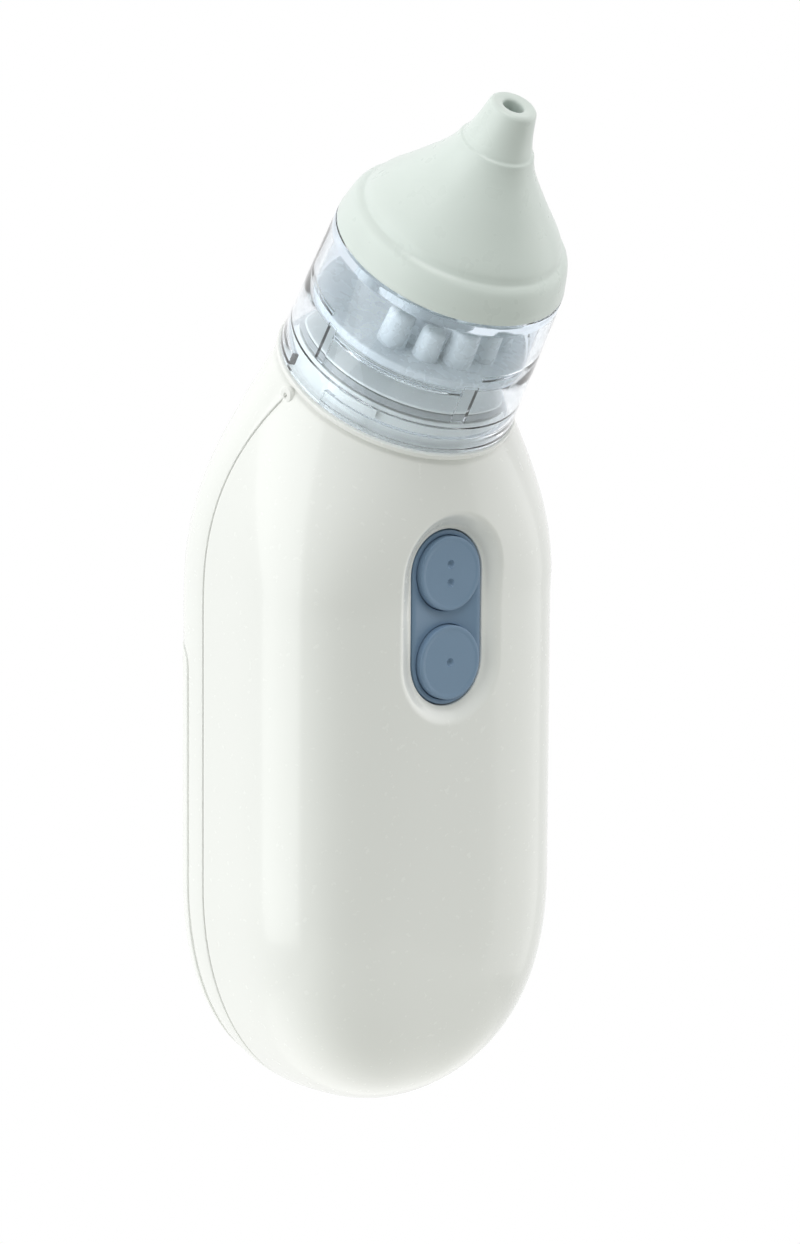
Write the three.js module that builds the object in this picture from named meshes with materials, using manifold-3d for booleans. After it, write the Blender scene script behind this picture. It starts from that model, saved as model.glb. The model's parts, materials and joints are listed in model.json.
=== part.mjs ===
// Battery nasal aspirator: a pebble-shaped two-shell handle with a tilted neck, a clear
// collection cup, a soft silicone tip, two press buttons, a slide-off battery door and a
// small motor-driven diaphragm pump. Millimetres, +Z up, buttons towards -Y.
import * as THREE from "three";
import { mergeVertices } from "three/addons/utils/BufferGeometryUtils.js";
import Module from "manifold-3d";

// ---------------------------------------------------------------- driving dimensions
const DEG = Math.PI / 180;
const GAP = 0.3; // clearance between cut neighbours
const WALL = 2.0; // shell wall

// handle: a vertical spine that bends forward into the neck
const HALF_WIDTH = 28.8;
const FRONT_DEPTH = 25.6; // spine to front face
const BACK_DEPTH = 15.0; // spine to back face
const SQUARENESS = 3.75; // superellipse exponent of the section, 2 at the round neck
const TILT = 32.5 * DEG;
const BEND_RADIUS = 68;
const NECK_STRAIGHT = 0.1;
const NECK_Z = 120; // centre of the cup's seat, above the bottom
const NECK_Y = -11.2;
const NECK_RADIUS = 19.6;
const LIP = 0.9; // collar between the shells' rim and the cup
const BOTTOM_CAP = { side: [37.9, 2.09], front: [39.2, 2.95], back: [25.5, 2.0] }; // height, exponent
const POLE_SQUARENESS = 2.2; // the section rounds off towards the bottom
const POLE_BLEND = 4.5;
const TAPER = { side: [31.3, 2.35], front: [29.4, 2.2], back: [24.5, 3.2] }; // length, exponent
const SEAM_BODY = 2.3; // front/back seam, behind the spine
const SEAM_NECK = 0.8;
const EYELET_R = 1.25; // strap eye on the seam, just under the neck's end
const EYELET_BORE = 0.4;
const EYELET_DROP = 2.6; // below the cup's seat, along the neck

// control panel on the front
const PANEL_Z = 82.6;
const PANEL_R = 7.0;
const PANEL_HALF = 7.1; // half distance between the plate's end centres
const RECESS_DEPTH = 1.3;
const RECESS_FLOOR = 0.9; // flat of the dished recess past the plate
const RECESS_RIM = 2.6; // how far the dished recess spreads past the plate
const PLATE_DEPTH = 2.4;
const PLATE_FLANGE = 0.9;
const BUTTON_R = 5.9;
const BUTTON_PITCH = 14.4;
const BUTTON_PROUD = 0.9;

// cup and tip, along the neck axis from the cup's seat
const CUP_R = [20.0, 19.2]; // at its rim and under the tip
const CUP_TOP = 24.8;
const COLLAR_R = 17.2; // spigot that holds the tip
const COLLAR_TOP = 28.0;
const FLOOR_Z = 11.7; // ledge that the insert sits on
const SPIGOT_R = 17.3;
const SPIGOT_TOP = 7.0;
const LUG_ANGLE = -59.5; // bayonet lug on the spigot, from the front, locked
const TWIST = 32; // turn that brings the cup's entry slots to the lugs
const ENTRY_WIDTH = 29; // degrees
const LUG_WIDTH = 22;
const TIP_END = 53.8;
const TIP_BORE = 1.7;

// battery compartment
const CELL_R = 7.15;
const CELL_X = 7.8;
const CELL_Y = 4.0;
const CELL_BODY = 49.5;
const CELL_NIPPLE = 1.0;
const CONTACT = { half: 4.8, depth: 0.4, clear: 0.1 }; // sheet-metal contacts
const SPRING_R = 0.4; // spring wire
const BAY_BOTTOM = 17.0;
const BAY_TOP = 74.2;
const DOOR_TOP = 77;
const DOOR_SEAM = 6.7; // the door is everything behind this plane
const DOOR_CORNER = 4.5;
const DECK = [4.3, 5.8]; // wall between the electronics and the door
const SHELF = [DOOR_TOP, DOOR_TOP + 1.4]; // closes the compartment above the door

// motor and pump, on an axis across the handle
const AXIS_Z = 87.5;
const MOTOR_SIZE = [24.8, 18.8, 15.2]; // along X, Y, Z
const MOTOR_X = -23.9;
const PUMP_X = 10.3;
const PUMP_R = 9.3;
const THROW = 0.8;

// ---------------------------------------------------------------- materials
const finish = (color, roughness, metalness = 0, extra = {}) =>
  new THREE.MeshStandardMaterial({ color, roughness, metalness, ...extra });
const CLEAR = { transparent: true, opacity: 0.35 };
const whiteGloss = finish(0xf4f4f0, 0.25);
const blueGrey = finish(0x8197b0, 0.5);
const clearPlastic = finish(0xd5e2ee, 0.1, 0, CLEAR);
const frostedPlastic = finish(0xdfe6ea, 0.4, 0, CLEAR);
const silicone = finish(0xd5dcd8, 0.45);
const greyPlastic = finish(0xb9bcbc, 0.55);
const blackRubber = finish(0x2c2d2f, 0.75);
const steel = finish(0xb4b6b8, 0.35, 1);
const brass = finish(0xc9a75a, 0.35, 1);
const copper = finish(0xb66a3c, 0.4, 1);
const ferrite = finish(0x3c3b3c, 0.7);
const boardGreen = finish(0x1f5a3a, 0.5);
const cellWrap = finish(0x3f5f8f, 0.35);
const foam = finish(0x8d9296, 0.95);
const redWire = finish(0xb2352c, 0.5);
const blackWire = finish(0x27282a, 0.5);

// ---------------------------------------------------------------- solids
const wasm = await Module();
wasm.setup();

function toSolid(geometry) {
  const bare = geometry.clone();
  bare.deleteAttribute("normal");
  bare.deleteAttribute("uv");
  const merged = mergeVertices(bare, 1e-4);
  const vertProperties = new Float32Array(merged.attributes.position.array);
  const triVerts = new Uint32Array(merged.index.array);
  return new wasm.Manifold(new wasm.Mesh({ numProp: 3, vertProperties, triVerts }));
}

function toGeometry(solid) {
  const mesh = solid.getMesh();
  const geometry = new THREE.BufferGeometry();
  geometry.setAttribute("position", new THREE.BufferAttribute(mesh.vertProperties, 3));
  geometry.setIndex(new THREE.BufferAttribute(mesh.triVerts, 1));
  geometry.computeVertexNormals();
  return geometry;
}

// The largest connected piece: drops slivers that a cut leaves along curved edges.
function main(solid) {
  const pieces = solid.asOriginal().simplify(0.005).decompose();
  return pieces.reduce((a, b) => (a.volume() > b.volume() ? a : b));
}

const join = (...solids) => solids.reduce((a, b) => a.add(b));
const cut = (solid, ...tools) => tools.reduce((a, b) => a.subtract(b), solid);

// Axes: a prism's section is drawn in two named axes and pushed along the third.
const ALONG_X = new THREE.Matrix4().set(0, 0, 1, 0, 1, 0, 0, 0, 0, 1, 0, 0, 0, 0, 0, 1);
const ALONG_MINUS_Y = new THREE.Matrix4().set(1, 0, 0, 0, 0, 0, -1, 0, 0, 1, 0, 0, 0, 0, 0, 1);

function extrusion(shape, depth, curveSegments) {
  return new THREE.ExtrudeGeometry(shape, { depth, bevelEnabled: false, curveSegments });
}

// section in (Y, Z), from x0 to x1
const prismX = (shape, x0, x1, segments = 8) =>
  extrusion(shape, x1 - x0, segments).applyMatrix4(ALONG_X).translate(x0, 0, 0);
// section in (X, Z), from y0 to y1
const prismY = (shape, y0, y1, segments = 8) =>
  extrusion(shape, y1 - y0, segments).applyMatrix4(ALONG_MINUS_Y).translate(0, y1, 0);
// section in (X, Y), from z0 to z1
const prismZ = (shape, z0, z1, segments = 8) =>
  extrusion(shape, z1 - z0, segments).translate(0, 0, z0);

function block(x0, x1, y0, y1, z0, z1) {
  const box = new THREE.BoxGeometry(x1 - x0, y1 - y0, z1 - z0);
  return box.translate((x0 + x1) / 2, (y0 + y1) / 2, (z0 + z1) / 2);
}

function rodZ(x, y, z0, z1, r, segments = 16) {
  const rod = new THREE.CylinderGeometry(r, r, z1 - z0, segments).rotateX(Math.PI / 2);
  return rod.translate(x, y, (z0 + z1) / 2);
}
const rodX = (x0, x1, y, z, r, segments = 16) =>
  new THREE.CylinderGeometry(r, r, x1 - x0, segments)
    .rotateZ(Math.PI / 2)
    .translate((x0 + x1) / 2, y, z);
const rodY = (x, y0, y1, z, r, segments = 16) =>
  new THREE.CylinderGeometry(r, r, y1 - y0, segments).translate(x, (y0 + y1) / 2, z);

// Turned solid about Z: [radius, z] pairs that start and end on the axis, or close a ring.
function turned(outline, segments = 24) {
  const points = outline.map(([r, z]) => new THREE.Vector2(r, z));
  return new THREE.LatheGeometry(points, segments).rotateX(Math.PI / 2);
}
const ring = (outline, segments) => turned([...outline, outline[0]], segments);

function stadium(r, half, cx = 0, cz = 0) {
  const shape = new THREE.Shape();
  shape.absarc(cx, cz + half, r, 0, Math.PI);
  shape.absarc(cx, cz - half, r, Math.PI, 2 * Math.PI);
  return shape;
}

function roundedRect(w, h, r, cx = 0, cy = 0) {
  const shape = new THREE.Shape();
  const [x, y] = [w / 2 - r, h / 2 - r];
  shape.absarc(cx + x, cy + y, r, 0, Math.PI / 2);
  shape.absarc(cx - x, cy + y, r, Math.PI / 2, Math.PI);
  shape.absarc(cx - x, cy - y, r, Math.PI, 1.5 * Math.PI);
  shape.absarc(cx + x, cy - y, r, 1.5 * Math.PI, 2 * Math.PI);
  return shape;
}

// Straight-sided section, mirrored in X when side is -1.
const outlined = (points, side = 1) =>
  new THREE.Shape(points.map(([x, y]) => new THREE.Vector2(side * x, y)));

function disc(r, cx = 0, cy = 0) {
  const shape = new THREE.Shape();
  shape.absarc(cx, cy, r, 0, 2 * Math.PI);
  return shape;
}

function withHoles(shape, ...holes) {
  shape.holes.push(...holes);
  return shape;
}

function tube(points, r, { bore = 0, steps = 16, sides = 8 } = {}) {
  const section = new THREE.Shape();
  section.absarc(0, 0, r, 0, 2 * Math.PI);
  if (bore) section.holes.push(new THREE.Path().absarc(0, 0, bore, 0, 2 * Math.PI));
  const path = new THREE.CatmullRomCurve3(points.map((p) => new THREE.Vector3(...p)));
  const options = { steps, curveSegments: sides / 2, bevelEnabled: false, extrudePath: path };
  return new THREE.ExtrudeGeometry(section, options);
}

// Skin through rings of equal size, closed by a fan at each end.
function loft(rings) {
  const n = rings[0].length;
  const positions = rings.flat().flatMap((p) => [p.x, p.y, p.z]);
  const index = [];
  for (let k = 0; k < rings.length - 1; k++) {
    for (let i = 0; i < n; i++) {
      const j = (i + 1) % n;
      const [a, b, c, d] = [k * n + i, k * n + j, (k + 1) * n + j, (k + 1) * n + i];
      index.push(a, b, c, a, c, d);
    }
  }
  const last = (rings.length - 1) * n;
  for (let i = 1; i < n - 1; i++) {
    index.push(0, i + 1, i, last, last + i, last + i + 1);
  }
  const geometry = new THREE.BufferGeometry();
  geometry.setAttribute("position", new THREE.Float32BufferAttribute(positions, 3));
  geometry.setIndex(index);
  return geometry;
}

// ---------------------------------------------------------------- handle surface
const BEND_START = NECK_Z - LIP * Math.cos(TILT) - BEND_RADIUS * Math.sin(TILT) -
  NECK_STRAIGHT * Math.cos(TILT);
const SPINE_LENGTH = BEND_START + BEND_RADIUS * TILT + NECK_STRAIGHT;
const NECK_END = [NECK_Y + LIP * Math.sin(TILT), NECK_Z - LIP * Math.cos(TILT)];
const SPINE_Y = NECK_END[0] + BEND_RADIUS * (1 - Math.cos(TILT)) +
  NECK_STRAIGHT * Math.sin(TILT);

// A point of the spine at arc length s, and how far it has turned.
function spine(s) {
  const turn = THREE.MathUtils.clamp((s - BEND_START) / BEND_RADIUS, 0, TILT);
  const past = Math.max(0, s - BEND_START - BEND_RADIUS * TILT);
  const y = SPINE_Y - BEND_RADIUS * (1 - Math.cos(turn)) - past * Math.sin(TILT);
  const z = s < BEND_START
    ? s
    : BEND_START + BEND_RADIUS * Math.sin(turn) + past * Math.cos(TILT);
  return { y, z, turn };
}

const along = (s, length) => THREE.MathUtils.clamp((s - SPINE_LENGTH + length) / length, 0, 1);

// 1 at the bottom pole of a surface set in by inset, 0 where its cap ends.
const inCap = (s, length, inset) =>
  THREE.MathUtils.clamp(1 - (s - inset) / (length - inset), 0, 1);

// Half size of the section on one side (side, front or back) at s, for a surface set in by inset.
function reach(side, size, s, inset) {
  const [taperLength, taperPower] = TAPER[side];
  const [capLength, capPower] = BOTTOM_CAP[side];
  const blend = along(s, taperLength) ** taperPower;
  const full = size - (size - NECK_RADIUS) * blend - inset;
  return full * (1 - inCap(s, capLength, inset) ** capPower) ** (1 / capPower);
}

// Superellipse exponent of the section at s.
function squareness(s, inset) {
  const pole = inCap(s, BOTTOM_CAP.side[0], inset) ** POLE_BLEND;
  const body = SQUARENESS + (POLE_SQUARENESS - SQUARENESS) * pole;
  return body + (2 - body) * along(s, TAPER.side[0]);
}

const seamAt = (s) => SEAM_BODY + (SEAM_NECK - SEAM_BODY) * along(s, TAPER.side[0]);

// Point at v behind the spine and x to the side, in the section at s.
function inSection(s, x, v) {
  const { y, z, turn } = spine(s);
  return new THREE.Vector3(x, y + v * Math.cos(turn), z + v * Math.sin(turn));
}

function sectionRing(s, inset, around) {
  const w = reach("side", HALF_WIDTH, s, inset);
  const f = reach("front", FRONT_DEPTH, s, inset);
  const b = reach("back", BACK_DEPTH, s, inset);
  const power = 2 / squareness(s, inset);
  const points = [];
  for (let i = 0; i < around; i++) {
    const angle = ((i + 0.5) / around) * 2 * Math.PI;
    const [c, q] = [Math.cos(angle), Math.sin(angle)];
    const x = w * Math.sign(c) * Math.abs(c) ** power;
    const v = (q < 0 ? f : b) * Math.sign(q) * Math.abs(q) ** power;
    points.push(inSection(s, x, v));
  }
  return points;
}

function handleSolid(inset, extra, around) {
  const stations = [];
  const capSteps = 8;
  const poleGap = 0.2; // the first ring is a fifth of a step from the pole
  const capLength = BOTTOM_CAP.side[0];
  for (let i = 0; i <= capSteps; i++) {
    const angle = ((i + poleGap) / (capSteps + poleGap)) * (Math.PI / 2);
    stations.push(inset + (capLength - inset) * (1 - Math.cos(angle)));
  }
  const bendSteps = 6;
  for (let i = 0; i <= bendSteps; i++) {
    stations.push(BEND_START + ((SPINE_LENGTH - BEND_START) * i) / bendSteps);
  }
  if (extra) stations.push(SPINE_LENGTH + extra);
  return toSolid(loft(stations.map((s) => sectionRing(s, inset, around))));
}

// Everything in front of (or behind) the front/back seam, set back by half the gap.
function seamSide(front) {
  const shift = front ? -GAP / 4 : GAP / 4;
  const far = front ? -90 : 60;
  const shape = new THREE.Shape();
  shape.moveTo(far, -10);
  const points = 8;
  for (let i = 0; i <= points; i++) {
    const s = i === 0 ? -10 : BEND_START - 4 + ((SPINE_LENGTH + 12 - BEND_START) * i) / points;
    const p = inSection(s, 0, seamAt(s) + shift);
    shape.lineTo(p.y, p.z);
  }
  shape.lineTo(far, 150);
  return toSolid(prismX(shape, -60, 60));
}

const outer = handleSolid(0, 0, 32);
const inner = handleSolid(WALL, 6, 24);
const middle = handleSolid(WALL / 2, 0, 24); // what is joined to the wall starts inside it
const wall = outer.subtract(inner);

// ---------------------------------------------------------------- scene graph
const model = new THREE.Group();
const handle = new THREE.Group();
const neck = new THREE.Group(); // its +Z is the neck axis, from the cup's seat
neck.position.set(0, NECK_Y, NECK_Z);
neck.rotation.x = TILT;
handle.add(neck);
model.add(handle);

// The model stands with the middle of its box over the origin.
const nozzleReach = -NECK_Y + TIP_END * Math.sin(TILT) + 3.2 * Math.cos(TILT);
handle.position.y = (nozzleReach - SPINE_Y - BACK_DEPTH) / 2;

function add(parent, name, shape, material) {
  const geometry = shape.isBufferGeometry ? shape : toGeometry(shape);
  const mesh = new THREE.Mesh(geometry, material);
  mesh.name = name;
  parent.add(mesh);
}

const inNeck = (solid) => solid.rotate([TILT / DEG, 0, 0]).translate([0, NECK_Y, NECK_Z]);

// ---------------------------------------------------------------- shells
const FRONT_Y = SPINE_Y - FRONT_DEPTH;
const PLATE_Y = FRONT_Y + RECESS_DEPTH;
const PLATE_BACK = PLATE_Y + PLATE_DEPTH;
const CASE_SCREWS = [[-22.3, 31], [22.3, 31], [-22.8, 70], [22.8, 70]];
const BOARD_SCREWS = [[-11.5, 100], [11.5, 68]];
const BOARD = { y: [-15.8, -14.2], z: [64, 104], half: 15 };
const LEDGE = [-3.0, -1.8]; // shell ledge that holds the spigot, along the neck
const LEDGE_R = 13.9;

// Ledge around the inside of the neck, which sits in the spigot's groove.
const neckLedge = inNeck(toSolid(ring([
  [LEDGE_R, LEDGE[0]], [26, LEDGE[0]], [26, LEDGE[1]], [LEDGE_R, LEDGE[1]],
], 28))).intersect(outer);

function frontShell() {
  const dish = toSolid(loft([0, 0.5, 1, 1.7].map((t) => {
    const r = PANEL_R + RECESS_FLOOR + (RECESS_RIM - RECESS_FLOOR) * t;
    const y = PLATE_Y - RECESS_DEPTH * t ** 1.6;
    return stadium(r, PANEL_HALF, 0, PANEL_Z).getPoints(7)
      .map((p) => new THREE.Vector3(p.x, y, p.y));
  })));
  const backing = toSolid(prismY(stadium(PANEL_R + 4.4, PANEL_HALF, 0, PANEL_Z),
    FRONT_Y + 0.6, PLATE_Y + 1.5, 6)).intersect(outer);
  const hole = toSolid(prismY(stadium(PANEL_R + 0.2, PANEL_HALF, 0, PANEL_Z),
    FRONT_Y - 2, PLATE_BACK + 4, 7));
  const bosses = [];
  const bores = [];
  for (const [x, z] of CASE_SCREWS) {
    bosses.push(toSolid(rodY(x, -30, 1.6, z, 3, 8)).intersect(outer));
    bores.push(toSolid(rodY(x, -9, 8, z, 1.4, 8)));
  }
  for (const [x, z] of BOARD_SCREWS) {
    bosses.push(toSolid(rodY(x, -30, BOARD.y[0] - 0.1, z, 2.3, 8)).intersect(outer));
    bores.push(toSolid(rodY(x, -20.4, 0, z, 1.1, 8)));
  }
  const half = wall.intersect(seamSide(true));
  const ledge = neckLedge.intersect(seamSide(true));
  const notch = eyeletAt(EYELET_R + GAP / 2, -NECK_RADIUS - 2, -NECK_RADIUS + 1.8);
  return main(cut(join(half, backing, ledge, ...bosses), dish, hole, notch, ...bores));
}

function backShell() {
  const rear = seamSide(false);
  const shelf = middle.intersect(toSolid(block(-40, 40, DECK[0], 40, ...SHELF)));
  const deck = middle.intersect(toSolid(block(-40, 40, ...DECK, -10, SHELF[1])));
  const [bayHalf, bayFront] = [CELL_X + CELL_R + 0.5, CELL_Y - CELL_R - 0.5];
  const tub = toSolid(block(-bayHalf - 1.4, bayHalf + 1.4, bayFront - 1.4, DECK[1],
    BAY_BOTTOM - 1.4, BAY_TOP + 1.4));
  const bay = toSolid(block(-bayHalf, bayHalf, bayFront, 20, BAY_BOTTOM, BAY_TOP));
  const rails = [-1, 1].map((side) => toSolid(prismZ(railSection(side), 36, 65)));
  const eyelet = eyeletAt(EYELET_R, -NECK_RADIUS - 0.9, -NECK_RADIUS + 1.6);
  const eye = eyeletAt(EYELET_BORE, -NECK_RADIUS - 2, -NECK_RADIUS + 3);
  const bores = CASE_SCREWS.map(([x, z]) => toSolid(rodY(x, 0, 8, z, 1.4, 8)));
  const leadSlot = toSolid(block(-4.2, -0.2, bayFront - 3, bayFront + 1, BAY_TOP - 4, BAY_TOP + 3));
  const half = wall.intersect(rear).subtract(doorZone(0));
  const ledge = neckLedge.intersect(rear);
  const body = join(half, ledge, shelf, deck, tub, ...rails, eyelet);
  return main(cut(body, bay, eye, leadSlot, ...bores));
}

// Everything behind the door's seam and below its top, with the upper corners rounded.
function doorZone(gap) {
  const [y, z] = [DOOR_SEAM + gap, DOOR_TOP - gap];
  const shape = new THREE.Shape();
  shape.absarc(y + DOOR_CORNER, z - DOOR_CORNER, DOOR_CORNER, Math.PI / 2, Math.PI);
  shape.lineTo(y, -10);
  shape.lineTo(40, -10);
  shape.lineTo(40, z);
  return toSolid(prismX(shape, -40, 40, 4));
}

const FOOT_Y = [DOOR_SEAM + 0.25, 8.0]; // hook of the door's foot, clear of the shell's rim

// Rail on the deck: a stem and a head that the door's foot slides under.
function railSection(side) {
  return outlined([[20.4, 5], [20.4, 9.4], [18, 9.4], [18, 8.3], [19.3, 8.3], [19.3, 5]], side);
}

function doorFootSection(side) {
  return outlined([[16.1, 15], [16.1, FOOT_Y[0]], [18.9, FOOT_Y[0]], [18.9, FOOT_Y[1]],
    [17.4, FOOT_Y[1]], [17.4, 15]], side);
}

// Small strap eye beside the neck, on the -X side.
function eyeletAt(r, x0, x1) {
  return inNeck(toSolid(rodX(x0, x1, SEAM_NECK, -EYELET_DROP, r, 14)));
}

function batteryDoor() {
  const feet = [-1, 1].map((side) =>
    toSolid(prismZ(doorFootSection(side), 37, 64)).intersect(outer));
  const grips = [68, 70.4, 72.8].map((z) =>
    toSolid(prismZ(roundedRect(15, 1, 0.45, 0, SPINE_Y + BACK_DEPTH - 0.2), z, z + 0.9, 3)));
  return main(join(wall.intersect(doorZone(GAP / 2)), ...feet, ...grips));
}

add(handle, "front_shell", frontShell(), whiteGloss);
add(handle, "back_shell", backShell(), whiteGloss);
add(handle, "battery_door", batteryDoor(), whiteGloss);

// ---------------------------------------------------------------- controls
const BUTTON_Z = { high: PANEL_Z + BUTTON_PITCH / 2, low: PANEL_Z - BUTTON_PITCH / 2 };
const FLANGE_R = PANEL_R - 0.25;

function buttonPlate() {
  const holes = Object.values(BUTTON_Z).map((z) => disc(BUTTON_R + 0.3, 0, z));
  const front = prismY(withHoles(stadium(PANEL_R, PANEL_HALF, 0, PANEL_Z), ...holes),
    PLATE_Y, PLATE_BACK - PLATE_FLANGE, 7);
  const flange = prismY(withHoles(stadium(PANEL_R + 1.4, PANEL_HALF, 0, PANEL_Z), ...holes),
    PLATE_BACK - PLATE_FLANGE, PLATE_BACK, 7);
  return join(toSolid(front), toSolid(flange));
}

// A pressed cap: domed top, skirt, retaining flange and a stem, turned about Z, then laid
// along the press direction.
function buttonCap(z, dimples) {
  const top = BUTTON_PROUD;
  const rear = PLATE_BACK - PLATE_Y + 0.3;
  const cap = turned([
    [0, -rear - 2.3], [1.5, -rear - 2.3], [1.5, -rear - 0.9], [FLANGE_R, -rear - 0.9],
    [FLANGE_R, -rear], [BUTTON_R, -rear], [BUTTON_R, top - 0.75], [BUTTON_R - 0.2, top - 0.35],
    [BUTTON_R - 0.7, top - 0.12], [BUTTON_R * 0.5, top - 0.02], [0, top],
  ], 24).rotateX(Math.PI / 2).translate(0, PLATE_Y, z);
  const dents = dimples.map((dz) =>
    toSolid(rodY(0, PLATE_Y - 2, PLATE_Y - top + 0.35, z + dz, 0.5, 10)));
  return cut(toSolid(cap), ...dents);
}

const SWITCH_FRONT = BOARD.y[0] - 3.1;

function switchBody(z) {
  const body = toSolid(block(-3.1, 3.1, SWITCH_FRONT, BOARD.y[0] - 0.1, z - 3.1, z + 3.1));
  return body.subtract(toSolid(rodY(0, SWITCH_FRONT - 1, SWITCH_FRONT + 2.3, z, 1.9, 14)));
}

add(handle, "button_plate", buttonPlate(), blueGrey);
for (const [name, z] of Object.entries(BUTTON_Z)) {
  const stemEnd = PLATE_BACK + 0.3 + 2.3;
  add(handle, `${name}_button`, buttonCap(z, name === "high" ? [-1.5, 1.5] : [0]), blueGrey);
  add(handle, `${name}_switch`, switchBody(z), ferrite);
  add(handle, `${name}_plunger`, rodY(0, stemEnd + 0.1, SWITCH_FRONT + 1.3, z, 1.6, 14), brass);
}

function controlBoard() {
  const outline = roundedRect(2 * BOARD.half, BOARD.z[1] - BOARD.z[0], 1.5, 0,
    (BOARD.z[0] + BOARD.z[1]) / 2);
  const holes = BOARD_SCREWS.map(([x, z]) => disc(1.3, x, z));
  const board = toSolid(prismY(withHoles(outline, ...holes), ...BOARD.y, 4));
  const chips = [[6, 4, 96], [8, 5, 82.6], [-9, 6, 76]].map(([x, size, z]) =>
    toSolid(block(x - size / 2, x + size / 2, BOARD.y[1] - 0.2, BOARD.y[1] + 1,
      z - size / 2, z + size / 2)));
  return join(board, ...chips);
}

// Pan-head screw: its head at y, its shank towards -Y.
function screwY(x, y, z, headR, shankR, length) {
  const screw = turned([
    [0, -length], [shankR * 0.5, -length], [shankR, -length + 1], [shankR, 0], [headR, 0],
    [headR, headR * 0.45], [headR * 0.6, headR * 0.7], [0, headR * 0.7],
  ], 10).rotateX(-Math.PI / 2);
  return screw.translate(x, y, z);
}

add(handle, "control_board", controlBoard(), boardGreen);
BOARD_SCREWS.forEach(([x, z], i) =>
  add(handle, `board_screw_${i + 1}`, screwY(x, BOARD.y[1] + 0.05, z, 1.9, 0.9, 5), steel));
CASE_SCREWS.forEach(([x, z], i) =>
  add(handle, `case_screw_${i + 1}`, screwY(x, DECK[1] + 0.05, z, 2.3, 1.2, 12), steel));

// ---------------------------------------------------------------- batteries and contacts
// Cell along Z with its nipple at the top (up = 1) or at the bottom (up = -1).
function cell(x, z0, up) {
  const outline = [
    [0, 0], [CELL_R - 0.5, 0], [CELL_R, 0.5], [CELL_R, CELL_BODY - 0.6],
    [CELL_R - 0.6, CELL_BODY], [2.7, CELL_BODY], [2.7, CELL_BODY + CELL_NIPPLE - 0.2],
    [2.4, CELL_BODY + CELL_NIPPLE], [0, CELL_BODY + CELL_NIPPLE],
  ];
  const solid = turned(outline, 20);
  if (up < 0) solid.rotateX(Math.PI).translate(0, 0, CELL_BODY + CELL_NIPPLE);
  return solid.translate(x, CELL_Y, z0);
}

// Conical contact spring on its plate, from z0 towards dir.
function contactSpring(x, z0, dir) {
  const [turns, height, steps] = [3, 4.4, 24];
  const points = [];
  for (let i = 0; i <= steps; i++) {
    const t = i / steps;
    const angle = t * turns * 2 * Math.PI;
    const r = 4.2 - 1.8 * t;
    points.push([x + r * Math.cos(angle), CELL_Y + r * Math.sin(angle), z0 + dir * height * t]);
  }
  return tube(points, SPRING_R, { steps: 30, sides: 6 });
}

const CELL_LENGTH = CELL_BODY + CELL_NIPPLE;
const LOW_CONTACT = BAY_BOTTOM + CONTACT.clear;
const HIGH_CONTACT = BAY_TOP - CONTACT.clear;
const cellLow = LOW_CONTACT + 0.6;
const cellHigh = HIGH_CONTACT - 0.6 - CELL_LENGTH;
const contact = (x0, x1, z0) =>
  block(x0, x1, CELL_Y - CONTACT.half, CELL_Y + CONTACT.half, z0, z0 + CONTACT.depth);
add(handle, "battery_1", cell(-CELL_X, cellHigh, 1), cellWrap);
add(handle, "battery_2", cell(CELL_X, cellLow, -1), cellWrap);
add(handle, "contact_bridge", contact(-13, 13, LOW_CONTACT), steel);
add(handle, "contact_plus", contact(-13, -2.6, HIGH_CONTACT - CONTACT.depth), steel);
add(handle, "contact_minus", contact(2.6, 13, HIGH_CONTACT - CONTACT.depth), steel);
add(handle, "battery_spring_1", contactSpring(-CELL_X, LOW_CONTACT + 0.95, 1), steel);
add(handle, "battery_spring_2", contactSpring(CELL_X, HIGH_CONTACT - 0.95, -1), steel);

// ---------------------------------------------------------------- motor
const MOTOR_END = MOTOR_X + MOTOR_SIZE[0];
const flatCan = (grow) => roundedRect(MOTOR_SIZE[1] + 2 * grow, MOTOR_SIZE[2] + 2 * grow,
  MOTOR_SIZE[2] / 2 + grow - 0.2, 0, AXIS_Z);
const canShell = toSolid(prismX(flatCan(0), MOTOR_X + 2, MOTOR_END, 3));
const canBore = toSolid(prismX(flatCan(-0.8), MOTOR_X, MOTOR_END - 0.8, 3));
const shaftBore = toSolid(rodX(MOTOR_X - 1, MOTOR_END + 1, 0, AXIS_Z, 1.15));
add(handle, "motor_can", cut(canShell, canBore, shaftBore), steel);
add(handle, "motor_end_cap", cut(join(
  toSolid(prismX(flatCan(0), MOTOR_X, MOTOR_X + 1.9, 3)),
  toSolid(rodX(MOTOR_X - 1, MOTOR_X, 0, AXIS_Z, 3)),
), shaftBore), whiteGloss);
const sleeve = withHoles(flatCan(1.4), flatCan(0.12));
add(handle, "motor_sleeve", prismX(sleeve, MOTOR_X + 5, MOTOR_END - 5, 3), blackRubber);

// Two arc magnets lie in the can's round ends, left and right of the armature.
for (const [i, side] of [-1, 1].entries()) {
  const arc = new THREE.Shape();
  const [centre, r0, r1] = [side * (MOTOR_SIZE[1] - MOTOR_SIZE[2]) / 2, 5.2, 6.5];
  const middle = side > 0 ? 0 : Math.PI;
  arc.absarc(centre, AXIS_Z, r1, middle - 1.2, middle + 1.2);
  arc.absarc(centre, AXIS_Z, r0, middle + 1.2, middle - 1.2, true);
  add(handle, `magnet_${i + 1}`, prismX(arc, MOTOR_X + 5, MOTOR_END - 3, 4), ferrite);
}

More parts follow.
